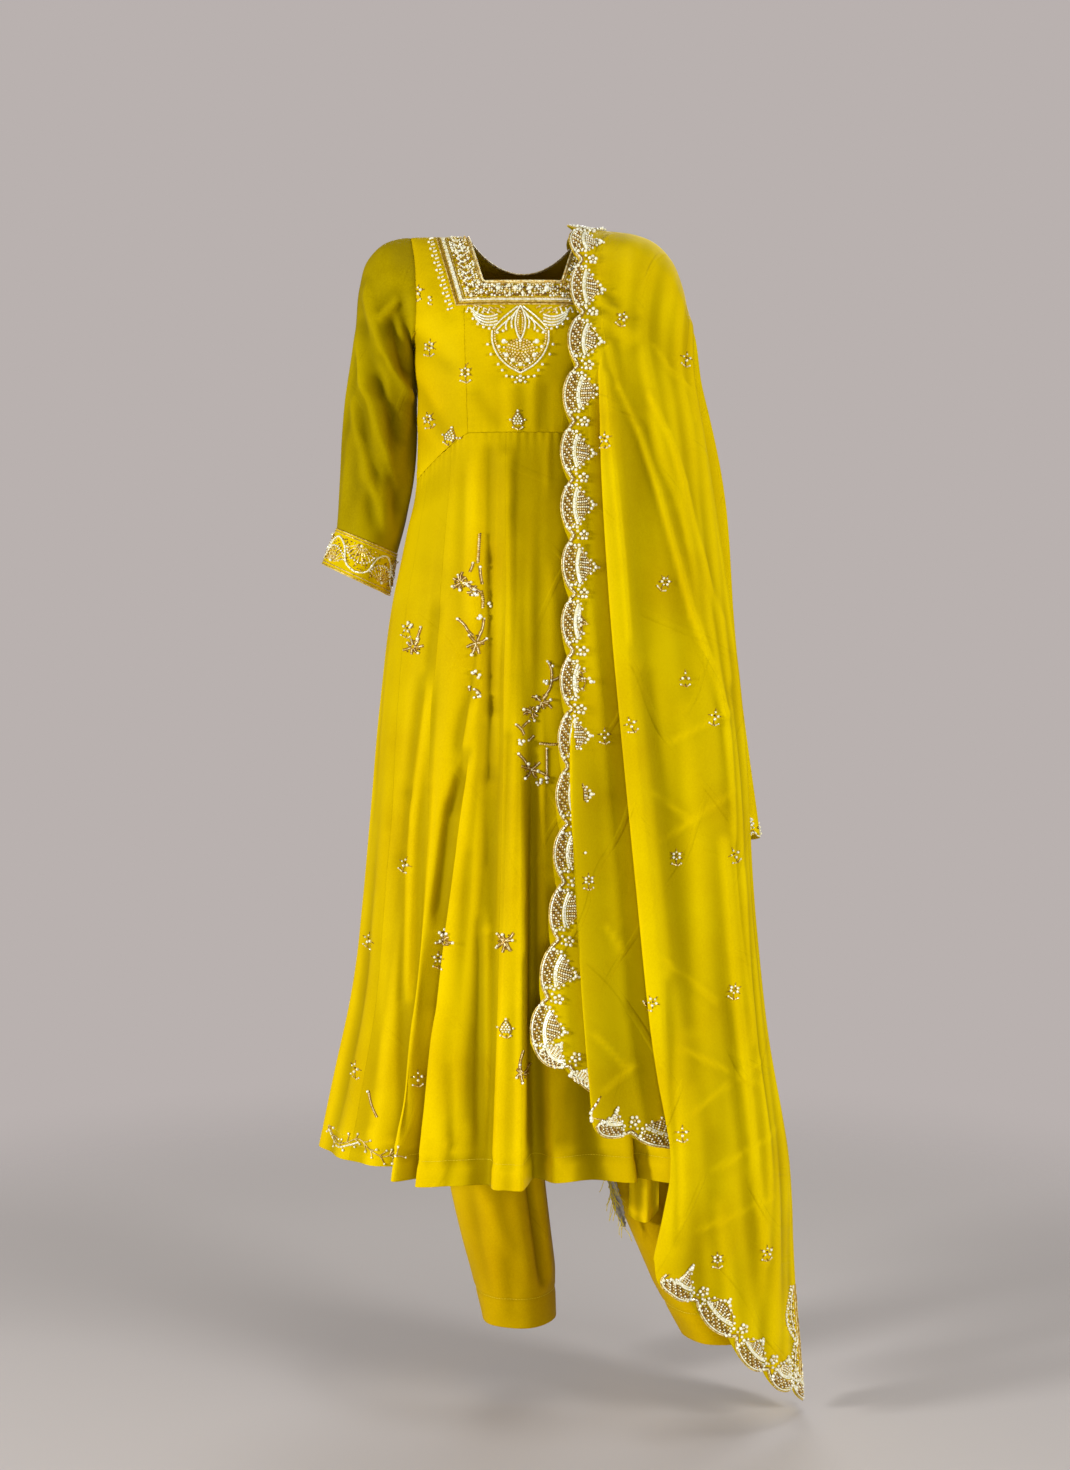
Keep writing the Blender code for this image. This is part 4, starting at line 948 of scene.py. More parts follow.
places = np.interp(np.linspace(0, 12, DUPATTA_COLUMNS - 6), np.arange(13), FRONT_LINES[:, 0])
ahead = fall(FRONT_LINES, FRONT_Z, 1, places, 150)
behind = fall(BACK_LINES, BACK_Z, -1, places, 90)[:, ::-1]
top = shoulder_point(places)
columns = []
for column in range(len(places)):
    crest = top[column]
    rise = max(crest[2] - ahead[column, -1, 2], 0.02)
    up, down = ([(end[0] + crest[0]) / 2, end[1] * 0.66, end[2] + rise * 0.76]
                for end in (ahead[column, -1], behind[column, 0]))
    path = np.concatenate([ahead[column, ::6][:-1], ahead[column, -1:], [up, crest, down],
                           behind[column, ::6], behind[column, -1:]])
    along = edge_length(path)
    knots = np.array([0, along[len(ahead[column, ::6]) - 1], along[-1]])
    evenly = np.interp(np.linspace(0, 1, DUPATTA_ROWS), [0, 0.58, 1], knots)
    columns.append(spline(along, path, evenly))
sheet_grid = np.array(columns).transpose(1, 0, 2)

outer = sheet_grid[:, -1]
turn_in = np.linspace(0, 1, 7)[1:]
facing = np.where(outer[:, 1:2] < 0, 1, -1) * smooth_step(np.abs(outer[:, 1:2]) / 0.05)
forward = np.maximum(facing, 0) * 0.95 + np.minimum(facing, 0) * 0.5
turned = [outer + np.concatenate([
    -(0.58 - 0.28 * facing) * TURNED_EDGE * part,
    forward * TURNED_EDGE * (part - 0.1 * (1 - part)),
    0 * facing], axis=1) for part in turn_in]
sheet_grid = np.concatenate([sheet_grid, np.array(turned).transpose(1, 0, 2)], axis=1)

down = np.linspace(0, 1, DUPATTA_ROWS)[:, None]
over = np.concatenate([places, 1 + 0.1 * turn_in])
height = creases(sheet_grid, DUPATTA_CREASES) * np.where(sheet_grid[..., 1] < 0, 1, 0.4)
height += 0.0012 * np.sin(18 * over + 21 * down) + 0.0008 * np.sin(41 * over - 33 * down)
height *= smooth_step(np.abs(sheet_grid[..., 1]) / 0.08)
sheet_grid = raised(sheet_grid, height)


def notch_depth(along):
    """How deep the scalloped edge is cut, at a way along it."""
    belly = np.abs(np.sin(np.pi * (np.asarray(along) / SCALLOP_PITCH + SCALLOP_START)))
    return SCALLOP_DEPTH * (1 - belly ** SCALLOP_ROUND)


def cut_scallops(grid, along_edge, reach=SCALLOP_REACH):
    """Cut scallops along the first row of a grid, by drawing the rows next to it inward."""
    cut = notch_depth(along_edge)
    result = grid.copy()
    for column, inward in enumerate(edge_length(grid).T):
        near = inward < reach
        moved = cut[column] + inward[near] * (reach - cut[column]) / reach
        for axis in range(3):
            result[near, column, axis] = np.interp(moved, inward, grid[:, column, axis])
    return result


uncut = sheet_grid
scalloped = cut_scallops(uncut, edge_length(uncut[0]))
scalloped = cut_scallops(scalloped[::-1], edge_length(uncut[-1]))[::-1]
sideways = cut_scallops(scalloped.transpose(1, 0, 2), edge_length(uncut[:, 0]))
scalloped = sideways.transpose(1, 0, 2)
piece = cloth("dupatta", scalloped, sheer,
              ["dupatta_shoulder", "dupatta_inner_fall", "dupatta_inner_pleat",
               "dupatta_outer_fall", "dupatta_back_fall"], wall=0.0006)


# ---- neck embroidery
# Zardozi hand work: zari (gilt) cord is couched in lines, and glass bugles, small gilt beads and
# pearls are sewn on one by one.  It fills a band round the square neckline and a pendant below
# it.  The neckline itself is bound with a zari piping.
# Kind of bead: length along its thread, diameter, finish
BEADS = {
    "pearls": (0.0044, 0.0044, "pearl"), "crystals": (0.003, 0.003, "silver_glass"),
    "silver_bugles": (0.005, 0.0023, "silver_glass"), "gilt_bugles": (0.005, 0.0021, "gilt"),
    "gilt_beads": (0.0025, 0.0025, "gilt"), "antique_beads": (0.0024, 0.0024, "antique"),
    "gilt_stitches": (0.0048, 0.0015, "gilt"), "machine_stitches": (0.0027, 0.0006, "thread"),
}
# Kind of cord: diameter, finish
CORDS = {
    "zari_cord": (0.0014, "zari"), "zari_piping": (0.0034, "gilt"),
    "antique_cord": (0.0013, "antique"), "gilt_thread": (0.0013, "gilt"),
    "antique_thread": (0.001, "antique"), "cotton_thread": (0.0008, "thread"),
}


def trim_finish(name, colour, other, metallic, roughness, coat):
    """Gilt wire, silver-lined glass and pearl: a hard bright face whose tone differs bead by bead."""
    material, tree, shader, place = paint_of(name)
    varied = add_node(tree, "ShaderNodeTexNoise", {"Scale": 260, "Detail": 1}, {"Vector": place})
    tone = two_tones(tree, varied.outputs["Fac"], 0.36, other, 0.62, colour)
    tree.links.new(tone, shader.inputs["Base Color"])
    set_inputs(shader, Metallic=metallic, Roughness=roughness, Coat_Weight=coat)
    return material


FINISHES = {
    # Drawn gilt wire over a silk core: warm, and only half as bright as plate, because it is twisted
    "gilt": trim_finish("gilt_zari_wire", "#FAEDB2", "#CFA436", 0.22, 0.34, 0),
    # The same wire plied into cord, with a darker tone scattered along it at random as painted shade
    # for its grooves
    "zari": trim_finish("zari_cord_ply_painted_groove_shade", "#E8CE80", "#A98528", 0.25, 0.38, 0),
    # Old-gold zari thread between the beads: its brown in the gaps is partly the thread's own colour
    # and partly painted shade between the beads
    "antique": trim_finish("antique_zari_thread_and_gap_shade", "#A87A12", "#734E06", 0.15, 0.5, 0),
    # Glass tubes lined with silver: nearly white, with hard small glints
    "silver_glass": trim_finish("silver_lined_glass", "#F8F8E6", "#ECE6B8", 0, 0.16, 0.6),
    # Moulded beads with a nacre lacquer: soft white with a clear gloss
    "pearl": trim_finish("nacre_lacquer", "#F8F8E6", "#EEE8C0", 0, 0.16, 0.6),
    # Spun polyester sewing thread in the colour of the cloth
    "thread": trim_finish("sewing_thread", "#E2CC00", "#C9B000", 0, 0.7, 0),
}


def new_tree(name, *measures):
    """Start a Geometry Nodes tree that takes a mesh, some measures and a finish."""
    tree = bpy.data.node_groups.new(name, "GeometryNodeTree")
    sockets = [tree.interface.new_socket(name=title, in_out="INPUT", socket_type="NodeSocket" + kind)
               for title, kind in [("Geometry", "Geometry"), *((m, "Float") for m in measures),
                                   ("Finish", "Material")]]
    tree.interface.new_socket(name="Geometry", in_out="OUTPUT", socket_type="NodeSocketGeometry")
    return tree, sockets, add_node(tree, "NodeGroupInput").outputs


def close_tree(tree, given, geometry, smooth):
    """End a tree with real, painted faces."""
    real = add_node(tree, "GeometryNodeRealizeInstances", None, {"Geometry": geometry})
    shaded = add_node(tree, "GeometryNodeSetShadeSmooth", {"Shade Smooth": smooth},
                      {"Geometry": real.outputs["Geometry"]})
    painted = add_node(tree, "GeometryNodeSetMaterial", None,
                       {"Geometry": shaded.outputs["Geometry"], "Material": given["Finish"]})
    add_node(tree, "NodeGroupOutput", None, {"Geometry": painted.outputs["Geometry"]})


def bead_tree(name, round_shape):
    """Geometry Nodes tree that sews one bead on every vertex, along the vertex's own run."""
    tree, sockets, given = new_tree(name, "Bead length", "Bead radius")
    run, size = (add_node(tree, "GeometryNodeInputNamedAttribute", {"Name": field}, data_type=kind)
                 for field, kind in (("run", "FLOAT_VECTOR"), ("size", "FLOAT")))
    turn = add_node(tree, "FunctionNodeAlignRotationToVector", None,
                    {"Vector": run.outputs["Attribute"]}, axis="Z")
    if round_shape:
        bead = add_node(tree, "GeometryNodeMeshUVSphere", {"Segments": 6, "Rings": 4},
                        {"Radius": given["Bead radius"]})
    else:
        bead = add_node(tree, "GeometryNodeMeshCylinder", {"Vertices": 6}, fill_type="TRIANGLE_FAN",
                        wires={"Radius": given["Bead radius"], "Depth": given["Bead length"]})
    sewn_on = add_node(tree, "GeometryNodeInstanceOnPoints", None,
                       {"Points": given["Geometry"], "Instance": bead.outputs["Mesh"],
                        "Rotation": turn.outputs["Rotation"], "Scale": size.outputs["Attribute"]})
    close_tree(tree, given, sewn_on.outputs["Instances"], round_shape)
    return tree, sockets


def cord_tree():
    """Geometry Nodes tree that turns lines of edges into round cords."""
    tree, sockets, given = new_tree("couched_cords", "Cord radius")
    line = add_node(tree, "GeometryNodeMeshToCurve", None, {"Mesh": given["Geometry"]})
    ring = add_node(tree, "GeometryNodeCurvePrimitiveCircle", {"Resolution": 5},
                    {"Radius": given["Cord radius"]}, mode="RADIUS")
    tube = add_node(tree, "GeometryNodeCurveToMesh", {"Fill Caps": True},
                    {"Curve": line.outputs["Curve"], "Profile Curve": ring.outputs["Curve"]})
    close_tree(tree, given, tube.outputs["Mesh"], True)
    return tree, sockets


round_beads = bead_tree("round_beads", True)
tube_beads = bead_tree("tube_beads", False)
couched_cords = cord_tree()
on_needle = defaultdict(list)


def settle(name, base, tree, settings, stands_for=()):
    """Run a tree on a mesh, keep the plain result as a piece of the suit, and drop the modifier."""
    source = stand(name + "_points", base)
    modifier = source.modifiers.new("hand_work", "NODES")
    modifier.node_group = tree
    for socket, value in settings:
        modifier[socket.identifier] = value
    evaluated = source.evaluated_get(bpy.context.evaluated_depsgraph_get())
    mesh = bpy.data.meshes.new_from_object(evaluated)
    bpy.data.objects.remove(source)
    mesh.name = name
    piece = stand(name, mesh)
    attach(piece, "root")
    if stands_for:
        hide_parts(*stands_for)


def sew(where, stands_for=()):
    """Sew on everything that is on the needle, as one piece for each kind of bead and cord."""
    for kind, made in on_needle.items():
        name = f"{where}_{kind}"
        base = bpy.data.meshes.new(name + "_base")
        if kind in BEADS:
            length, width, finish = BEADS[kind]
            points, runs, sizes = zip(*made)
            base.from_pydata([tuple(p) for p in points], [], [])
            run = base.attributes.new("run", "FLOAT_VECTOR", "POINT")
            run.data.foreach_set("vector", np.array(runs, float).ravel())
            size = base.attributes.new("size", "FLOAT", "POINT")
            size.data.foreach_set("value", np.array(sizes, float))
            tree, sockets = round_beads if length == width else tube_beads
            measures = (length, width / 2, FINISHES[finish])
        else:
            width, finish = CORDS[kind]
            points, edges = [], []
            for line in made:
                start = len(points)
                points += [tuple(p) for p in line]
                edges += [(start + i, start + i + 1) for i in range(len(line) - 1)]
            base.from_pydata(points, edges, [])
            tree, sockets = couched_cords
            measures = (width / 2, FINISHES[finish])
        settle(name, base, tree, zip(sockets[1:], measures),
               stands_for if kind == "zari_piping" else ())
    on_needle.clear()


SUNK = 0.42                 # share of a bead's width at which its middle lies over the cloth
THREAD_UNDER = 0.0004
BEAD_GAP = 1.06             # from bead to bead along a row, in lengths of a bead


def lift_of(kind):
    width = BEADS[kind][1] if kind in BEADS else CORDS[kind][0]
    return THREAD_UNDER + width * SUNK


def bead(kind, surface, place, size=1):
    """One bead on a surface, which gives a point and a normal for a flat place."""
    point, normal = surface(place)
    on_needle[kind].append((point + normal * lift_of(kind) * size, normal, size))


def stitch(kind, surface, start, end, size=1):
    """One tube bead or stitch that lies from one flat place to the other."""
    first, second = surface(start)[0], surface(end)[0]
    point, normal = surface((np.asarray(start, float) + end) / 2)
    run = unit(second - first, 1e-9)
    on_needle[kind].append((point + normal * lift_of(kind) * size, run, size))


def curved(knots, spacing):
    """Even places along a smooth line through flat knots."""
    knots = np.asarray(knots, float)
    along = edge_length(knots)
    fine = spline(along, knots, np.linspace(0, along[-1], 8 * len(knots)))
    along = edge_length(fine)
    count = max(int(round(along[-1] / spacing)), 1)
    return at_way(np.linspace(0, along[-1], count + 1), along, fine).T


def bead_row(kind, surface, knots, spacing, size=1):
    for place in curved(knots, spacing):
        bead(kind, surface, place, size)


def stitch_between(kind, surface, places, size):
    for start, end in zip(places[:-1], places[1:]):
        stitch(kind, surface, start, end, size)


def stitch_row(kind, surface, knots, size=1):
    """Tube beads end to end along a line."""
    stitch_between(kind, surface, curved(knots, BEADS[kind][0] * size * BEAD_GAP), size)


def lay(kind, surface, places):
    """A cord laid through flat places."""
    on_needle[kind].append([point + normal * lift_of(kind) for point, normal in map(surface, places)])


def couch(kind, surface, knots, spacing=0.004):
    """A cord couched along a smooth line."""
    lay(kind, surface, curved(knots, spacing))


def seen_from_front(names):
    """Surface that takes x and z to the first of the named cloths met from in front."""
    points, faces = [], []
    for name in names:
        faces += (grid_faces(cloth_grids[name]) + len(points)).tolist()
        points += cloth_grids[name].reshape(-1, 3).tolist()
    tree = BVHTree.FromPolygons(points, faces)

    def surface(place):
        start = Vector((place[0], -1, place[1]))
        point, normal, _, _ = tree.ray_cast(start, Vector((0, 1, 0)))
        if point is None:
            point, normal, _, _ = tree.find_nearest(Vector((place[0], -0.12, place[1])))
        point, normal = np.array(point), np.array(normal)
        return point, normal if normal[1] < 0 else -normal
    return surface


NECK_BAND = 0.031           # width of the embroidered band below the neckline
STRAP_WIDER = 1.32          # the bands beside the neckline are wider by this share

neck = seen_from_front(["front_panel", "front_side_panel_right", "front_side_panel_left"])


def neck_rows(out, side):
    """The two straight rows round one half of the neckline, at a distance out from it."""
    strap = unit(np.array([NECK_TOP_X - NECK_CORNER_X, -NECK_BOTTOM_Z]))
    beside = np.array([strap[1], -strap[0]])
    corner = np.array([NECK_CORNER_X, NECK_BOTTOM_Z - out])
    corner[0] += (out * STRAP_WIDER + beside[1] * out) / beside[0]
    top = corner + strap * (-0.004 - corner[1]) / strap[1]
    return np.array([[(0, NECK_BOTTOM_Z - out), corner], [corner, top]]) * (side, 1)


scatter = np.random.default_rng(3)
for side in (-1, 1):
    for out, kind in ((2, "zari"), (21.5, "zari"), (26.2, "zari"), (28.2, "antique"), (30, "zari"),
                      (8, "antique"), (16.5, "antique")):
        for run in neck_rows(out / 1e3, side):
            couch(kind + "_cord", neck, run)
    # Close filling of small beads, with a larger one here and there
    for out in np.arange(0.0042, 0.0205, 0.0029):
        for run in neck_rows(out, side):
            for place in curved(run, 0.0031):
                place = place + scatter.uniform(-0.0007, 0.0007, 2)
                chance = scatter.random()
                if chance < 0.42:
                    kind = "gilt_beads" if scatter.random() < 0.6 else "antique_beads"
                    bead(kind, neck, place, scatter.uniform(0.9, 1.25))
                elif chance < 0.84:
                    bead("crystals", neck, place, scatter.uniform(0.8, 1.1))
                elif chance < 0.9:
                    bead("pearls", neck, place, scatter.uniform(0.8, 1.1))
    bottom, strap = neck_rows(0.0238, side)
    stitch_row("silver_bugles", neck, strap, 1.25)
    stitch_row("silver_bugles", neck, bottom, 0.95)
    stitch_row("silver_bugles", neck, neck_rows(0.025, side)[1])
    for x in (0.009, 0.03):
        bead("pearls", neck, (side * x, NECK_BOTTOM_Z - 0.01), 1.5)
    # Branching veins up the strap
    for place in curved(neck_rows(0.013, side)[1], 0.0088)[1:-1]:
        for tilt in (-1, 1):
            bend = place + (0.0052 * tilt, 0.004)
            stitch("silver_bugles", neck, place, bend, 1.05)
            stitch("silver_bugles", neck, bend, place + (0.0086 * tilt, 0.0082), 0.85)
    # Drops along the outside of the strap, a long one and a pearl by turns
    for index, place in enumerate(curved(neck_rows(0.0325, side)[1], 0.0056)):
        end = place + (side * 0.0062, -0.0022)
        stitch("silver_bugles", neck, place, end, 1 if index % 2 else 0.7)
        if index % 2 == 0:
            bead("pearls", neck, place + (side * 0.0072, -0.0026), 0.8)
    for place in curved([(side * 0.04, NECK_BOTTOM_Z - 0.035), (side * 0.066, NECK_BOTTOM_Z - 0.033)],
                        0.006):
        stitch("silver_bugles", neck, place, place + (side * 0.0018, -0.0045), 0.8)
        bead("pearls", neck, place + (side * 0.0022, -0.0062), 0.7)

# Pendant: a long leaf between two wings, over a lotus hung with drops
PENDANT_X = -0.0025
PENDANT_TOP = NECK_BOTTOM_Z - NECK_BAND


def pendant(*places):
    """Flat places on the pendant, each from its x and its way down, in mm."""
    return [np.array([PENDANT_X + x / 1e3, PENDANT_TOP - down / 1e3]) for x, down in places]


def pearls(*rows):
    """Pearls of the pendant: x, way down, size."""
    for x, down, size in rows:
        bead("pearls", neck, *pendant((x, down)), size)


leaf = np.linspace(0, 1, 9)
for side in (-1, 1):
    outline = pendant(*((side * 6.2 * math.sin(math.pi * t) ** 0.8, 1 + 44 * t) for t in leaf))
    stitch_row("silver_bugles", neck, outline, 0.9)
    inner = pendant(*((side * 3 * math.sin(math.pi * t), 6 + 34 * t) for t in leaf))
    bead_row("gilt_beads", neck, inner, 0.0028)
    for shift in (0, 4.2, 8.4, 12.4):
        wing = pendant((side * (62 - 0.5 * shift), 3 + shift), (side * 50, 13 + 0.8 * shift),
                       (side * 38, 15.5 + 0.9 * shift), (side * 28, 12.5 + shift))
        stitch_row("silver_bugles", neck, wing, 0.95)
    for knots in (
        [(3, 2), (13, 10), (24, 20), (34, 31)], [(4, 7), (11, 16), (21, 25), (31, 35)],
        [(7, 12), (11, 21), (10, 31)], [(13, 16), (18, 26), (17, 33)],
    ):
        vein = pendant(*((side * x, down) for x, down in knots))
        stitch_row("silver_bugles", neck, vein, 0.85)
    heart = [(34.5, 33), (34.5, 46), (28, 62), (16, 75), (0, 84)]
    edge, inside = (pendant(*((side * max(x - shift, 0), down - 0.6 * shift) for x, down in heart))
                    for shift in (0, 3.4))
    stitch_row("silver_bugles", neck, edge, 0.9)
    bead_row("gilt_beads", neck, inside, 0.003)
    pearls(*((side * x, down, 0.85) for x, down in (
        (58, 18), (52, 25), (45, 29), (38, 31), (28, 36), (21, 34), (40, 50), (36, 62), (27, 74),
        (22, 81), (17, 88), (10, 89), (6, 95))))
    pearls(*((side * x, down, size) for x, down, size in (
        (20, 47, 1.5), (26, 53, 1), (17, 63, 1.4), (9, 69, 1.4))))
    for x, down in ((20, 4), (27, 6), (34, 5), (41, 6), (48, 3), (24, 10), (32, 11), (40, 10), (54, 2)):
        stitch("gilt_stitches", neck, *pendant((side * x, down), (side * (x + 4), down - 2)), 1.2)
for ring in range(1, 6):
    reach = 3.5 * ring
    for step in range(5 * ring):
        turn = 2 * math.pi * step / (5 * ring)
        place, = pendant((reach * math.sin(turn) * 0.95, 58 - reach * math.cos(turn) * 0.8))
        bead("gilt_beads", neck, place, 1.15)
for turn in np.linspace(-2.2, 2.2, 12):
    place, = pendant((20.5 * math.sin(turn), 58 + 17.5 * math.cos(turn)))
    bead("crystals", neck, place)
pearls((0, 46, 1), (0, 88, 0.9), (0, 93, 1.1), (-4, 90, 0.7), (4, 90, 0.7), (0, 74, 1.3))

# Zari piping all round the edge of the neckline
front_edge = cloth_grids["front_panel"][-1]
strap_edge = cloth_grids["front_side_panel_left"]
strap_edge = strap_edge[len(strap_edge) // 2:, 0]
back_edge = cloth_grids["back_panel"][-1]
mirror = np.array([-1, 1, 1])
loop = np.concatenate([front_edge[1:-1], strap_edge, back_edge[::-1][1:-1],
                       (strap_edge * mirror)[::-1], front_edge[1:2]])
on_needle["zari_piping"] = [loop[::2] + (0, 0, 0.0012)]
sew("neck", stands_for=["neck_piping"])


# ---- bodice sprigs
# Small sprigs (butis) of three or four beads on a stem, scattered over the bodice.
# x, z, lean from upright in degrees, petals
BODICE_BUTIS = [
    (-131, -79, 10, 5), (-115, -149, 5, 6), (-70, -185, 0, 6), (-90, -260, 15, 7), (-118, -237, -15, 6),
    (-6, -242, 0, 7), (115, -160, 10, 5), (80, -210, -10, 5),
]


def sprig(surface, place, lean, petals, size=1):
    """A pearl flower (place in mm) on a short stem, or from seven petals on rows of small beads."""
    place = np.array(place) / 1e3
    tilt = math.radians(lean)
    up = np.array([math.sin(tilt), math.cos(tilt)]) * size
    aside = np.array([up[1], -up[0]])
    if petals < 7:
        for petal in range(petals):
            turn = 2 * math.pi * petal / petals
            offset = (up * math.cos(turn) + aside * math.sin(turn)) * 0.0045
            bead("pearls" if petal % 3 else "crystals", surface, place + offset, 0.9 * size)
            couch("antique_thread", surface, [place + offset * 1.3, place + offset * 2], 0.002)
        bead("antique_beads", surface, place, 1.2 * size)
    else:
        for half, rise, beads in ((0, 0.0062, 1), (0.002, 0.0034, 2), (0.004, 0.0006, 3),
                                  (0.0048, -0.0024, 4), (0.0036, -0.0054, 3)):
            for along in np.linspace(-half, half, beads):
                bead("crystals", surface, place + up * rise + aside * along, size)
        for hand in (-1, 1):
            side = [place + up * rise + aside * hand * half for half, rise in (
                (0.001, 0.0092), (0.005, 0.003), (0.0074, -0.003), (0.004, -0.009))]
            couch("antique_thread", surface, side, 0.003)
            bead("pearls", surface, place + up * -0.001 + aside * hand * 0.0092, 0.65 * size)
        bead("pearls", surface, place + up * 0.01, 0.75 * size)
    stem = [place - up * 0.009, place - up * 0.013 + aside * 0.0015]
    couch("antique_thread", surface, stem, 0.002)
    for hand in (-1, 1):
        leaf = place - up * 0.01 + aside * hand * 0.006
        stitch("gilt_stitches", surface, stem[1], leaf, 1.1 * size)
        bead("pearls", surface, leaf, 0.6 * size)


for x, z, lean, petals in BODICE_BUTIS:
    sprig(neck, (x, z), lean, petals)
sew("bodice_sprigs")


# ---- cuff embroidery
# The cuff band is edged with gilt cord, and a silver vine runs up and down between the edges with
# a fan of gilt stitches in each of its bends.
CUFF_REPEAT = 0.074         # one up and down of the vine


def on_cuff(word):
    """Surface that takes the way round the cuff and the way down it, in metres."""
    grid = cloth_grids[f"cuff_band_{word}"]
    ring, out = (np.concatenate([field, field[:, :1]], axis=1) for field in (grid, ring_normals(grid)))
    around = edge_length(ring[6])
    deep = np.linalg.norm(grid[0, 0] - grid[-1, 0])

    def surface(place):
        column = np.interp(place[0] % around[-1], around, np.arange(len(around)))
        row = np.clip(place[1] / deep, 0, 1) * (len(grid) - 1)
        i, j = min(int(row), len(grid) - 2), min(int(column), len(around) - 2)
        a, b = row - i, column - j
        def blend(field):
            return ((1 - a) * ((1 - b) * field[i, j] + b * field[i, j + 1])
                    + a * ((1 - b) * field[i + 1, j] + b * field[i + 1, j + 1]))
        return blend(ring), unit(blend(out))
    return surface, around[-1], deep


for word in ("right", "left"):
    band, around, deep = on_cuff(word)
    repeats = int(round(around / CUFF_REPEAT))
    pitch = around / repeats
    for level in (0.0012, 0.0042, deep - 0.005, deep - 0.0012):
        line = [(share * around, level) for share in np.linspace(0, 1, 60)]
        couch("zari_cord", band, line)
    top, bottom = 0.0085, deep - 0.009
    for repeat in range(repeats):
        start = repeat * pitch
        vine = [(start + share * pitch, level) for share, level in (
            (0, bottom), (0.16, bottom - 0.004), (0.34, top + 0.006), (0.5, top),
            (0.66, top + 0.006), (0.84, bottom - 0.004), (1, bottom))]
        stitch_row("silver_bugles", band, vine)
        for middle, foot, way in ((start + 0.5 * pitch, bottom + 0.002, -1),
                                  (start + pitch, top - 0.002, 1)):
            def spoke(tilt, reach):
                return np.array([middle + reach * math.sin(tilt), foot + way * reach * math.cos(tilt)])
            for tilt in np.linspace(-1.05, 1.05, 9):
                for reach in (0.006, 0.0115, 0.017):
                    stitch("gilt_stitches", band, spoke(tilt, reach), spoke(tilt, reach + 0.004), 0.95)
            arc = [spoke(tilt, 0.0225) for tilt in np.linspace(-1.1, 1.1, 7)]
            bead_row("crystals", band, arc, 0.0042, 0.95)
            bead("pearls", band, spoke(0, 0.003))
        for share in (0.25, 0.75):
            bead("pearls", band, (start + share * pitch, top + 0.55 * (bottom - top)), 0.9)
    dots = np.random.default_rng(5)
    for _ in range(int(around * deep / 2.6e-5)):
        place = (dots.uniform(0, around), dots.uniform(top, bottom))
        bead("antique_beads" if dots.random() < 0.6 else "gilt_beads", band, place, 0.8)
    sew(f"cuff_{word}")


# ---- skirt embroidery
# Sprays climb the folds of the front: crooked stems and stars of couched gilt thread between two
# old-gold ones, strings of gilt beads and clusters of pearls.  A vine runs along part of the hem.
# Knots as x, z in mm
SKIRT_STEMS = [
    [(-61, -420), (-63, -427), (-65, -431)], [(-68, -446), (-60, -451), (-52, -456)],
    [(-48, -489), (-50, -502), (-55, -514)], [(-80, -489), (-71, -497), (-66, -505), (-61, -510)],
    [(-53, -425), (-52, -436), (-50, -446)], [(-59, -576), (-55, -578), (-52, -583)],
    [(-66, -573), (-65, -578)], [(-127, -499), (-131, -511), (-134, -521)],
    [(33, -544), (36, -553), (36, -563), (34, -574), (25, -588)], [(36, -565), (42, -563), (45, -561)],
    [(8, -615), (4, -618), (0, -622)], [(-8, -619), (-2, -624), (2, -632)],
    [(7, -639), (11, -636), (14, -633)], [(30, -649), (30, -666), (30, -683)],
    [(-5, -655), (2, -663), (7, -673)], [(11, -675), (19, -677), (26, -680), (33, -686)],
    [(-108, -891), (-99, -890), (-91, -889)], [(-31, -893), (-16, -880)], [(-30, -876), (-15, -895)],
    [(0, -1054), (-3, -1034), (1, -1015)], [(-194, -1084), (-190, -1098), (-182, -1112)],
]
# Strings of beads
SKIRT_STRINGS = [
    [(-54, -385), (-55, -402), (-56, -419)], [(-52, -456), (-50, -466), (-50, -475)],
    [(22, -643), (31, -644), (41, -644)],
]
# Stars: x, z, length of an arm, arms
SKIRT_STARS = [
    (-76, -444, 15, 9), (-61, -455, 7, 5), (-57, -519, 14, 7), (-137, -524, 13.5, 7),
    (24, -591, 12.5, 7), (12, -604, 11, 6), (11, -675, 12, 6), (-97, -885, 10, 6), (-20, -884, 13, 7),
    (0, -1042, 9.5, 5),
]
# Clusters: x, z, pearls
SKIRT_CLUSTERS = [
    (-57, -456, 5), (-55, -488, 5), (-42, -472, 3), (-57, -558, 6), (-55, -584, 4), (-139, -497, 3),
    (30, -567, 4), (0, -640, 5), (20, -691, 4), (31, -689, 3), (35, -544, 2), (-100, -878, 4),
]
# x, z, lean, petals
SKIRT_BUTIS = [
    (-105, -910, 0, 5), (-20, -988, 0, 7), (-147, -795, 20, 4), (-198, -899, 10, 4),
    (-145, -500, 10, 5), (-213, -1060, 0, 4), (-130, -1056, 0, 4),
]
HEM_VINE = np.array([
    (-252, -1145), (-240, -1158), (-224, -1152), (-206, -1144), (-190, -1154), (-172, -1160),
    (-156, -1152),
]) / 1e3

skirt = seen_from_front([name for name in cloth_grids if name.startswith("skirt_panel")])


def spray(surface, stem, gap):
    """A couched stem with pairs of small leaves and pearl buds."""
    couch("zari_cord", surface, stem, 0.003)
    places = curved(stem, gap)
    for index, place in enumerate(places):
        ahead = unit(places[min(index + 1, len(places) - 1)] - places[max(index - 1, 0)])
        aside = np.array([ahead[1], -ahead[0]])
        for hand in (-1, 1):
            reach = 0.0062 if (index + hand) % 2 else 0.0085
            tip = place + (aside * hand + ahead * 0.9) * reach
            couch("zari_cord", surface, [place, (place + tip) / 2 + ahead * 0.0006, tip], 0.002)
            bead(*("crystals", surface, tip, 0.95) if (index + (hand > 0)) % 3 else
                 ("pearls", surface, tip, 0.8))
    bead("pearls", surface, places[-1], 0.85)


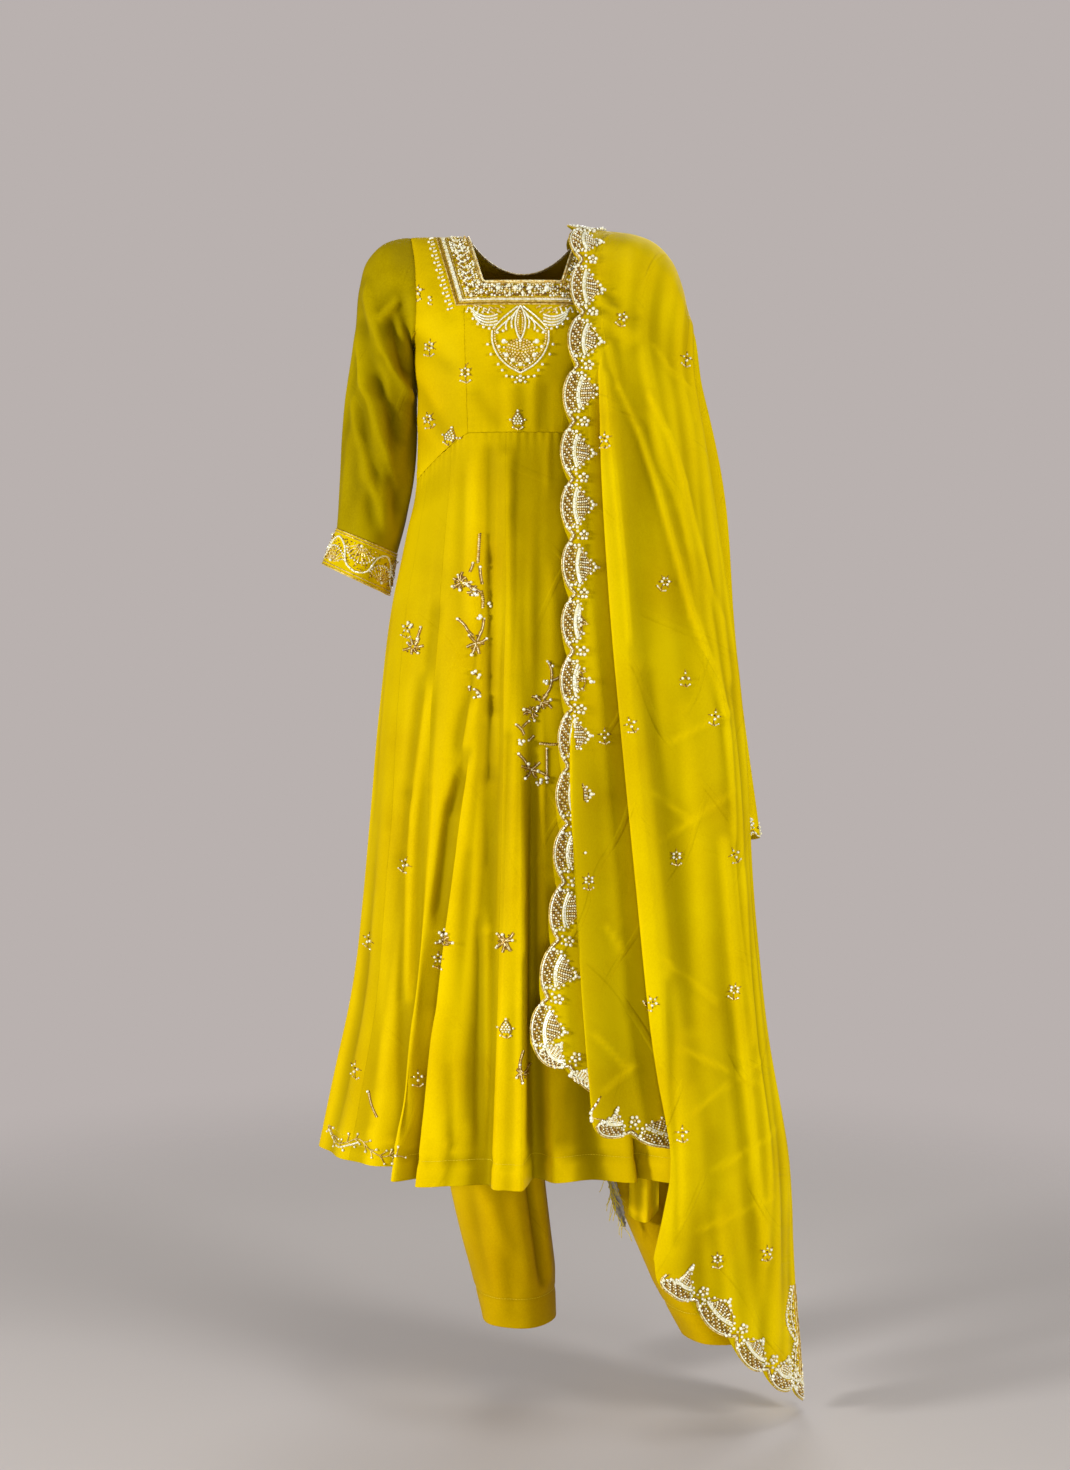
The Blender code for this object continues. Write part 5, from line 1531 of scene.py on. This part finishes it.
def stroke(surface, line):
    """A gilt thread with an old-gold one on each side, partly real thread and partly painted shade
    beside the raised gilt.
    """
    line = np.asarray(line, float)
    run = unit(line[-1] - line[0])
    aside = np.array([run[1], -run[0]])
    couch("gilt_thread", surface, line, 0.003)
    for hand in (-1, 1):
        couch("antique_thread", surface, line + aside * hand * 0.0013, 0.003)


def star(surface, place, arm, arms, uneven):
    """Strokes that spread unevenly from one place, most with a bead at the end."""
    first = uneven.uniform(0, 2 * math.pi)
    for index in range(arms):
        turn = first + 2 * math.pi * index / arms + uneven.uniform(-0.4, 0.4)
        direction = np.array([math.sin(turn), math.cos(turn)])
        aside = np.array([direction[1], -direction[0]])
        start = place + direction * arm * uneven.uniform(0.05, 0.25)
        tip = place + direction * arm * uneven.uniform(0.6, 1.2)
        bend = (start + tip) / 2 + aside * uneven.uniform(-0.0018, 0.0018)
        stroke(surface, [start, bend, tip])
        if index % 2:
            bead("pearls", surface, tip, uneven.uniform(0.7, 1.1))
        bead("antique_beads", surface, bend + aside * uneven.choice([-1, 1]) * 0.0032)


uneven = np.random.default_rng(8)
for stem in SKIRT_STEMS:
    stem = np.array(stem) / 1e3
    stroke(skirt, stem)
    bead("pearls", skirt, stem[0], uneven.uniform(0.6, 0.95))
for string in SKIRT_STRINGS:
    string = np.array(string) / 1e3
    bead_row("gilt_beads", skirt, string, 0.0027, 1.15)
    bead_row("antique_beads", skirt, string + (0.0017, 0.0012), 0.0027)
for x, z, arm, arms in SKIRT_STARS:
    star(skirt, np.array([x, z]) / 1e3, arm / 1e3, arms, uneven)
for x, z, count in SKIRT_CLUSTERS:
    middle = np.array([x, z]) / 1e3
    for _ in range(count):
        place = middle + uneven.uniform(-0.0042, 0.0042, 2)
        bead("pearls", skirt, place, uneven.uniform(0.7, 1.15))
    bead("antique_beads", skirt, middle, 1.1)
for x, z, lean, petals in SKIRT_BUTIS:
    sprig(skirt, (x, z), lean, petals)
spray(skirt, HEM_VINE, 0.0125)
stitch_row("silver_bugles", skirt, HEM_VINE[:4] - (0, 0.004), 0.9)
sew("skirt_sprays")


# ---- dupatta edging
# The scalloped edge is bound with gilt cord and a row of silver bugles.  Each scallop holds a
# fan: rows of small beads at its foot, a silver arc across it and gilt beads up to a tip of
# pearls.  A five-petalled pearl flower sits over each notch.
EDGE_CORD_IN = 0.0008
EDGE_BUGLES_IN = 0.003
EDGE_THREAD_IN = 0.0052
FLOWER_IN = 0.0295
EDGE_STEP = 0.012           # steps in which the way in from the edge follows the cloth
# Along the front end, the places and scales of the smaller fans beside the corner
CORNER_FANS = [(0.036, 0.7), (0.078, 0.5)]
FAN_BEADS = ("crystals", "antique_beads", "gilt_beads")
ROUND_FOLD = (-1.325, -1.458)   # heights between which the end's border comes round the fold
DUPATTA_MIDDLE = np.array([0.15, 0, -0.08])     # inside the suit, for what is outward
TURNED_X = 0.24             # beyond this the edge of the back fall turns to the front

dupatta_tree = BVHTree.FromPolygons(scalloped.reshape(-1, 3).tolist(),
                                    grid_faces(scalloped).tolist())


def on_dupatta(point):
    """Nearest point of the dupatta, with its normal turned away from the wearer."""
    found, normal, _, _ = dupatta_tree.find_nearest(Vector(point))
    found, normal = np.array(found), np.array(normal)
    if found[0] > TURNED_X and found[1] > 0:
        return found, normal * np.sign(normal[0])
    middle = DUPATTA_MIDDLE + (0, 0, min(found[2], 0))
    return found, normal if (found - middle) @ normal > 0 else -normal


def from_edge(edge, inner):
    """Surface that takes the way along an edge of the dupatta and the way straight in from it."""
    along = edge_length(edge)
    smooth = np.array([np.convolve(np.pad(axis, 6, "edge"), np.ones(13) / 13, "valid")
                       for axis in np.gradient(edge, axis=0).T]).T

    def surface(place):
        start, run, toward = (at_way(place[0], along, line) for line in (edge, smooth, inner))
        toward = toward - start
        point, normal = on_dupatta(start + toward * 0.3)
        inward = np.cross(normal, run)
        inward = unit(inward) * np.sign(inward @ toward)
        point, left = start, place[1]
        while left > 0:
            step = min(left, EDGE_STEP)
            point, normal = on_dupatta(point + inward * step)
            inward = unit(inward - normal * (inward @ normal))
            left -= step
        return point, normal
    return surface, along[-1]


def edge_line(surface, start, end, inward, kind, size=1):
    """Cord or stitches that follow the scallops at a way in from the edge."""
    places = [(along, notch_depth(along) + inward) for along in np.arange(start, end, 0.0045)]
    if kind in CORDS:
        lay(kind, surface, places)
    else:
        stitch_between(kind, surface, places, size)


def fan(surface, middle, uneven, scale=1):
    """The motif of one scallop; uneven turns and stretches it a little, as hand work is."""
    lean = uneven.uniform(-0.14, 0.14)
    tall = uneven.uniform(0.92, 1.05)
    wide = uneven.uniform(0.92, 1.06)
    pointed = uneven.random() < 0.6

    def at(along, inward):
        across = wide * along + lean * (inward - 10)
        return np.array([middle + across * scale / 1e3, inward * tall * scale / 1e3])

    # All in mm.  Rows of beads in from the edge, spread like a fan, with old-gold thread between,
    # partly real thread and partly painted shade in the gaps
    for step in range(-6, 7):
        along, bend = step * 3.3, (step / 6) ** 2
        foot = 6.2 + 3.4 * bend
        for place in np.linspace(foot, 15 + 3 * bend, 4):
            kind = FAN_BEADS[(step + int(place * 0.357)) % 3]
            bead(kind, surface, at(along * (1 + 0.009 * (place - 10)), place), 0.9)
        couch("antique_cord", surface, [at(along + 1.6, foot), at(along * 1.07 + 1.7, 15.5)], 0.006)
    # A double arc of bugles, hollow toward the tip
    for inward, half, size in ((18, 21.5, 1.25), (20, 19, 0.95)):
        arc = [at(half * t, inward + 4.6 * t * t) for t in np.linspace(-1, 1, 9)]
        stitch_row("silver_bugles", surface, arc, size)
    # Over the arc a leaf of beads in rows, or rows that narrow to a tip of pearls
    rows, narrower, pitch = (6, 2.9, 2.8) if pointed else (4, 2.2, 3)
    for row in range(rows):
        half = 16.5 - narrower * row
        inward = 23.2 + pitch * row
        hollow = 2.6 if pointed else -2.2 * row
        for index, along in enumerate(np.linspace(-half, half, max(int(half / 1.5), 1) + 1)):
            place = at(along, inward + hollow * (along / 16.5) ** 2)
            bead("crystals" if (index + row) % 2 else "gilt_beads", surface, place, 0.92)
        line = [at(along, inward + 1.4 + hollow * (along / 16.5) ** 2)
                for along in np.linspace(-half, half, 5)]
        couch("antique_cord", surface, line, 0.008)
    tip = 40 if pointed else 36.2
    side = [(19, 26.2), (13, 30.5), (8, 35), (3, 39)] if pointed else [
        (20.5, 24), (16.5, 29), (11, 33.5), (3, 35.5)]
    for hand in (-1, 1):
        couch("zari_cord", surface, [at(hand * along, inward) for along, inward in side], 0.003)
        for along, inward, size in (
            (4, tip + 1.4, 1), (8.2, tip - 2.2, 0.8), (23.2, 8.5, 0.85), (25.2, 12.2, 1.05),
            (24, 16.5, 0.85), (24.6, 21.2, 1), (21.2, 26.2, 0.8), (16, 31.2, 0.8),
        ):
            bead("pearls", surface, at(hand * along, inward), size)
    bead("pearls", surface, at(0, tip + 3.6), 1.25)
    bead("pearls", surface, at(0, tip + 7.2), 0.85)


def notch_flower(surface, middle):
    centre = np.array([middle, FLOWER_IN])
    for petal in range(5):
        turn = 2 * math.pi * petal / 5 + 0.3
        bead("pearls", surface, centre + (0.0046 * math.sin(turn), 0.0046 * math.cos(turn)), 1.05)
    bead("gilt_beads", surface, centre, 1.2)
    bead("pearls", surface, (middle - 0.0035, FLOWER_IN - 0.0082), 0.7)
    bead("pearls", surface, (middle + 0.005, FLOWER_IN - 0.0088), 0.85)


long_edge, long_length = from_edge(uncut[:, 0], uncut[:, 8])
front_end, front_length = from_edge(uncut[0], uncut[8])
back_end, back_length = from_edge(uncut[-1], uncut[-9])
uneven = np.random.default_rng(11)
# Along the front end no motif is set across the edge of the pleat, and the part behind the outer
# fold is plain: where each starts and ends
columns = np.interp([0.1, 0.14, 0.19, 0.2], places, np.arange(len(places))).astype(int)
*pleat, fold_start, fold_end = edge_length(uncut[0])[columns]
for where, surface, stretches in (
    ("dupatta_selvedge", long_edge, [(0, long_length)]),
    ("dupatta_front_end", front_end, [(0, fold_start), (fold_end + 0.012, front_length)]),
    ("dupatta_back_end", back_end, [(0, back_length)]),
):
    pleat_start, pleat_end = pleat if where == "dupatta_front_end" else (0, 0)
    if where == "dupatta_front_end":
        for middle, scale in CORNER_FANS:
            fan(surface, middle, uneven, scale)
    for start, end in stretches:
        margin = 0.05 if where == "dupatta_front_end" and start == 0 else 0.015
        edge_line(surface, start, end, EDGE_CORD_IN, "zari_cord")
        edge_line(surface, start, end, EDGE_THREAD_IN, "antique_cord")
        edge_line(surface, start, end, EDGE_BUGLES_IN, "silver_bugles", 0.82)
        for scallop in range(int(start / SCALLOP_PITCH), int(end / SCALLOP_PITCH) + 2):
            notch = (scallop - SCALLOP_START) * SCALLOP_PITCH
            middle = notch + 0.5 * SCALLOP_PITCH
            if start + margin < middle < end - 0.02 and not pleat_start < middle < pleat_end:
                fan(surface, middle, uneven)
            if start + 0.02 < notch < end - 0.01:
                notch_flower(surface, notch)
    sew(where)


# The border of the front end comes round the outer fold and shows there as a narrow strip
dupatta_front = seen_from_front(["dupatta"])
ahead = scalloped[scalloped[..., 1] < 0]
strip = []
for row, z in enumerate(np.arange(ROUND_FOLD[0], ROUND_FOLD[1], -0.0032)):
    level = ahead[np.abs(ahead[:, 2] - z) < 0.008]
    edge = level[:, 0].max() - 0.0012
    belly = abs(math.sin(math.pi * (z - ROUND_FOLD[0]) / SCALLOP_PITCH))
    reach = 0.005 + 0.0105 * belly
    strip.append((edge, z, reach))
    for step, inward in enumerate(np.arange(0.0062, reach, 0.0032)):
        bead(FAN_BEADS[(step + row) % 3], dupatta_front, (edge - inward, z), 0.9)
    bead("pearls", dupatta_front, (edge - reach - 0.0024, z), 0.6 + 0.35 * (row % 2))
couch("zari_cord", dupatta_front, [(edge, z) for edge, z, _ in strip], 0.003)
stitch_row("gilt_bugles", dupatta_front, [(edge - 0.0026, z) for edge, z, _ in strip], 0.9)
stitch_row("silver_bugles", dupatta_front, [(edge - 0.62 * reach, z) for edge, z, reach in strip], 0.8)
sew("dupatta_round_fold")


# ---- dupatta sprigs
# The same small sprigs as on the bodice are scattered over the dupatta.
# x, z, lean, petals
DUPATTA_BUTIS = [
    (123, -120, 20, 5), (203, -165, 10, 4), (100, -272, 0, 5), (174, -444, 30, 6), (199, -560, 0, 3),
    (236, -608, 10, 4), (131, -616, -20, 4), (100, -630, 0, 4), (188, -778, 0, 6), (260, -778, -20, 4),
    (80, -806, 0, 6), (158, -952, 40, 5), (260, -943, 10, 6), (193, -1108, 0, 4), (237, -1266, 0, 6),
    (300, -1265, 0, 5),
]
for x, z, lean, petals in DUPATTA_BUTIS:
    sprig(dupatta_front, (x, z), lean, petals, 0.95)
sew("dupatta_sprigs")


# ---- hem stitches
# The hems of the kameez and the trousers are turned up twice and sewn with one line of machine
# stitches.  The raw strip beside the lining corner frays, and its loose threads hang below it.
HEM_STITCH_PITCH = 0.0036
FRAYED_THREADS = 26


def machine_stitches(name, height):
    """A line of stitches along a cloth at a height above its hem."""
    grid = cloth_grids[name]
    row = int(np.argmin(np.abs(grid[:, 0, 2] - height)))
    edge, normal = grid[row], normals_of(grid)[row]
    along = edge_length(edge)
    for start in np.arange(0.001, along[-1] - HEM_STITCH_PITCH, HEM_STITCH_PITCH):
        first, last = (at_way(start + gone, along, edge) for gone in (0, BEADS["machine_stitches"][0]))
        lifted = (first + last) / 2 + at_way(start, along, normal) * 0.0005
        on_needle["machine_stitches"].append((lifted, unit(last - first), 1))


for name in [name for name in cloth_grids if name.startswith("skirt_panel")]:
    machine_stitches(name, HEM_Z + HEM_DEPTH)
for word, rings in (("right", RIGHT_LEG), ("left", LEFT_LEG)):
    machine_stitches(f"trouser_leg_{word}", rings[0, 0] + TROUSER_HEM_DEPTH)
sew("hem")

loose = np.random.default_rng(4)
for _ in range(FRAYED_THREADS):
    share = loose.random()
    z = RAW_EDGE[-1, 0] + share * (RAW_EDGE[0, 0] - RAW_EDGE[-1, 0])
    x = np.interp(z, RAW_EDGE[:, 0], RAW_EDGE[:, 1]) + loose.uniform(-0.001, 0.006)
    line = [np.array([x, -0.1055, z])]
    way = np.array([loose.uniform(-0.5, 0.3), loose.uniform(-0.3, 0.1), -1])
    for _ in range(int(loose.integers(4, 8))):
        way = way + (loose.uniform(-0.5, 0.5), loose.uniform(-0.2, 0.2), -0.1)
        line.append(line[-1] + unit(way) * 0.0042)
    on_needle["cotton_thread"].append(line)
sew("frayed_edge")


# ---- floor and light
# A plain pale studio floor that runs out of sight, and large soft lights in front and above.
FLOOR_Z = -1.492
FLOOR_RADIUS = 3.2
FLOOR_FADE = (0.85, 1.9)    # radii between which the floor melts into the studio behind it

rim = round_turn(128)
floor_mesh = bpy.data.meshes.new("floor")
floor_mesh.from_pydata([(FLOOR_RADIUS * math.cos(a), FLOOR_RADIUS * math.sin(a), FLOOR_Z) for a in rim],
                       [], [tuple(range(128))])
paint, tree, shader, place = paint_of("studio_floor_paint")
set_inputs(shader, Base_Color=linear("#C2BCB9"), Roughness=0.6)
flat_place = add_node(tree, "ShaderNodeVectorMath", {1: (1, 1, 0)}, {0: place},
                      operation="MULTIPLY")
radius = add_node(tree, "ShaderNodeVectorMath", None, {0: flat_place.outputs[0]}, operation="LENGTH")
fade = add_node(tree, "ShaderNodeMapRange", {"From Min": FLOOR_FADE[0], "From Max": FLOOR_FADE[1],
                "To Min": 1, "To Max": 0}, {"Value": radius.outputs["Value"]},
                interpolation_type="SMOOTHSTEP")
tree.links.new(fade.outputs[0], shader.inputs["Alpha"])
floor_mesh.materials.append(paint)
stand("floor", floor_mesh)

# The studio walls are pale where they are seen and give only a little light
world = bpy.data.worlds.new("studio")
world.use_nodes = True
tree = world.node_tree
walls = tree.nodes["Background"]
walls.inputs["Color"].default_value = linear("#B9B1AF")
bounce = add_node(tree, "ShaderNodeBackground", {"Color": linear("#B9B1AF"), "Strength": 0.27})
seen = add_node(tree, "ShaderNodeLightPath").outputs["Is Camera Ray"]
both = add_node(tree, "ShaderNodeMixShader", None, {0: seen, 1: bounce.outputs[0], 2: walls.outputs[0]})
tree.links.new(both.outputs[0], tree.nodes["World Output"].inputs["Surface"])
bpy.context.scene.world = world

# Name, place, aim, size, watts
LIGHTS = [
    ("key_softbox", (-2.9, -1.5, -0.3), (0, 0, -0.8), 0.7, 98),
    ("fill_softbox", (2.8, -1.8, -0.1), (0.05, 0, -0.8), 0.9, 66),
    ("top_softbox", (0.4, -0.5, 2.3), (0.1, 0, -0.4), 1, 20),
    ("front_softbox", (0.1, -3.2, -1.3), (0.05, 0, -1.1), 1.2, 31),
    ("back_softbox", (0.4, 2.6, 1.2), (0, 0, -0.6), 2, 30),
]
for name, place, aim, size, watts in LIGHTS:
    lamp = bpy.data.lights.new(name, "AREA")
    lamp.shape = "DISK"
    lamp.size = size
    lamp.energy = watts
    light = stand(name, lamp)
    light.location = place
    light.rotation_euler = (Vector(aim) - Vector(place)).to_track_quat("-Z", "Y").to_euler()

bpy.context.scene.view_settings.view_transform = "Standard"
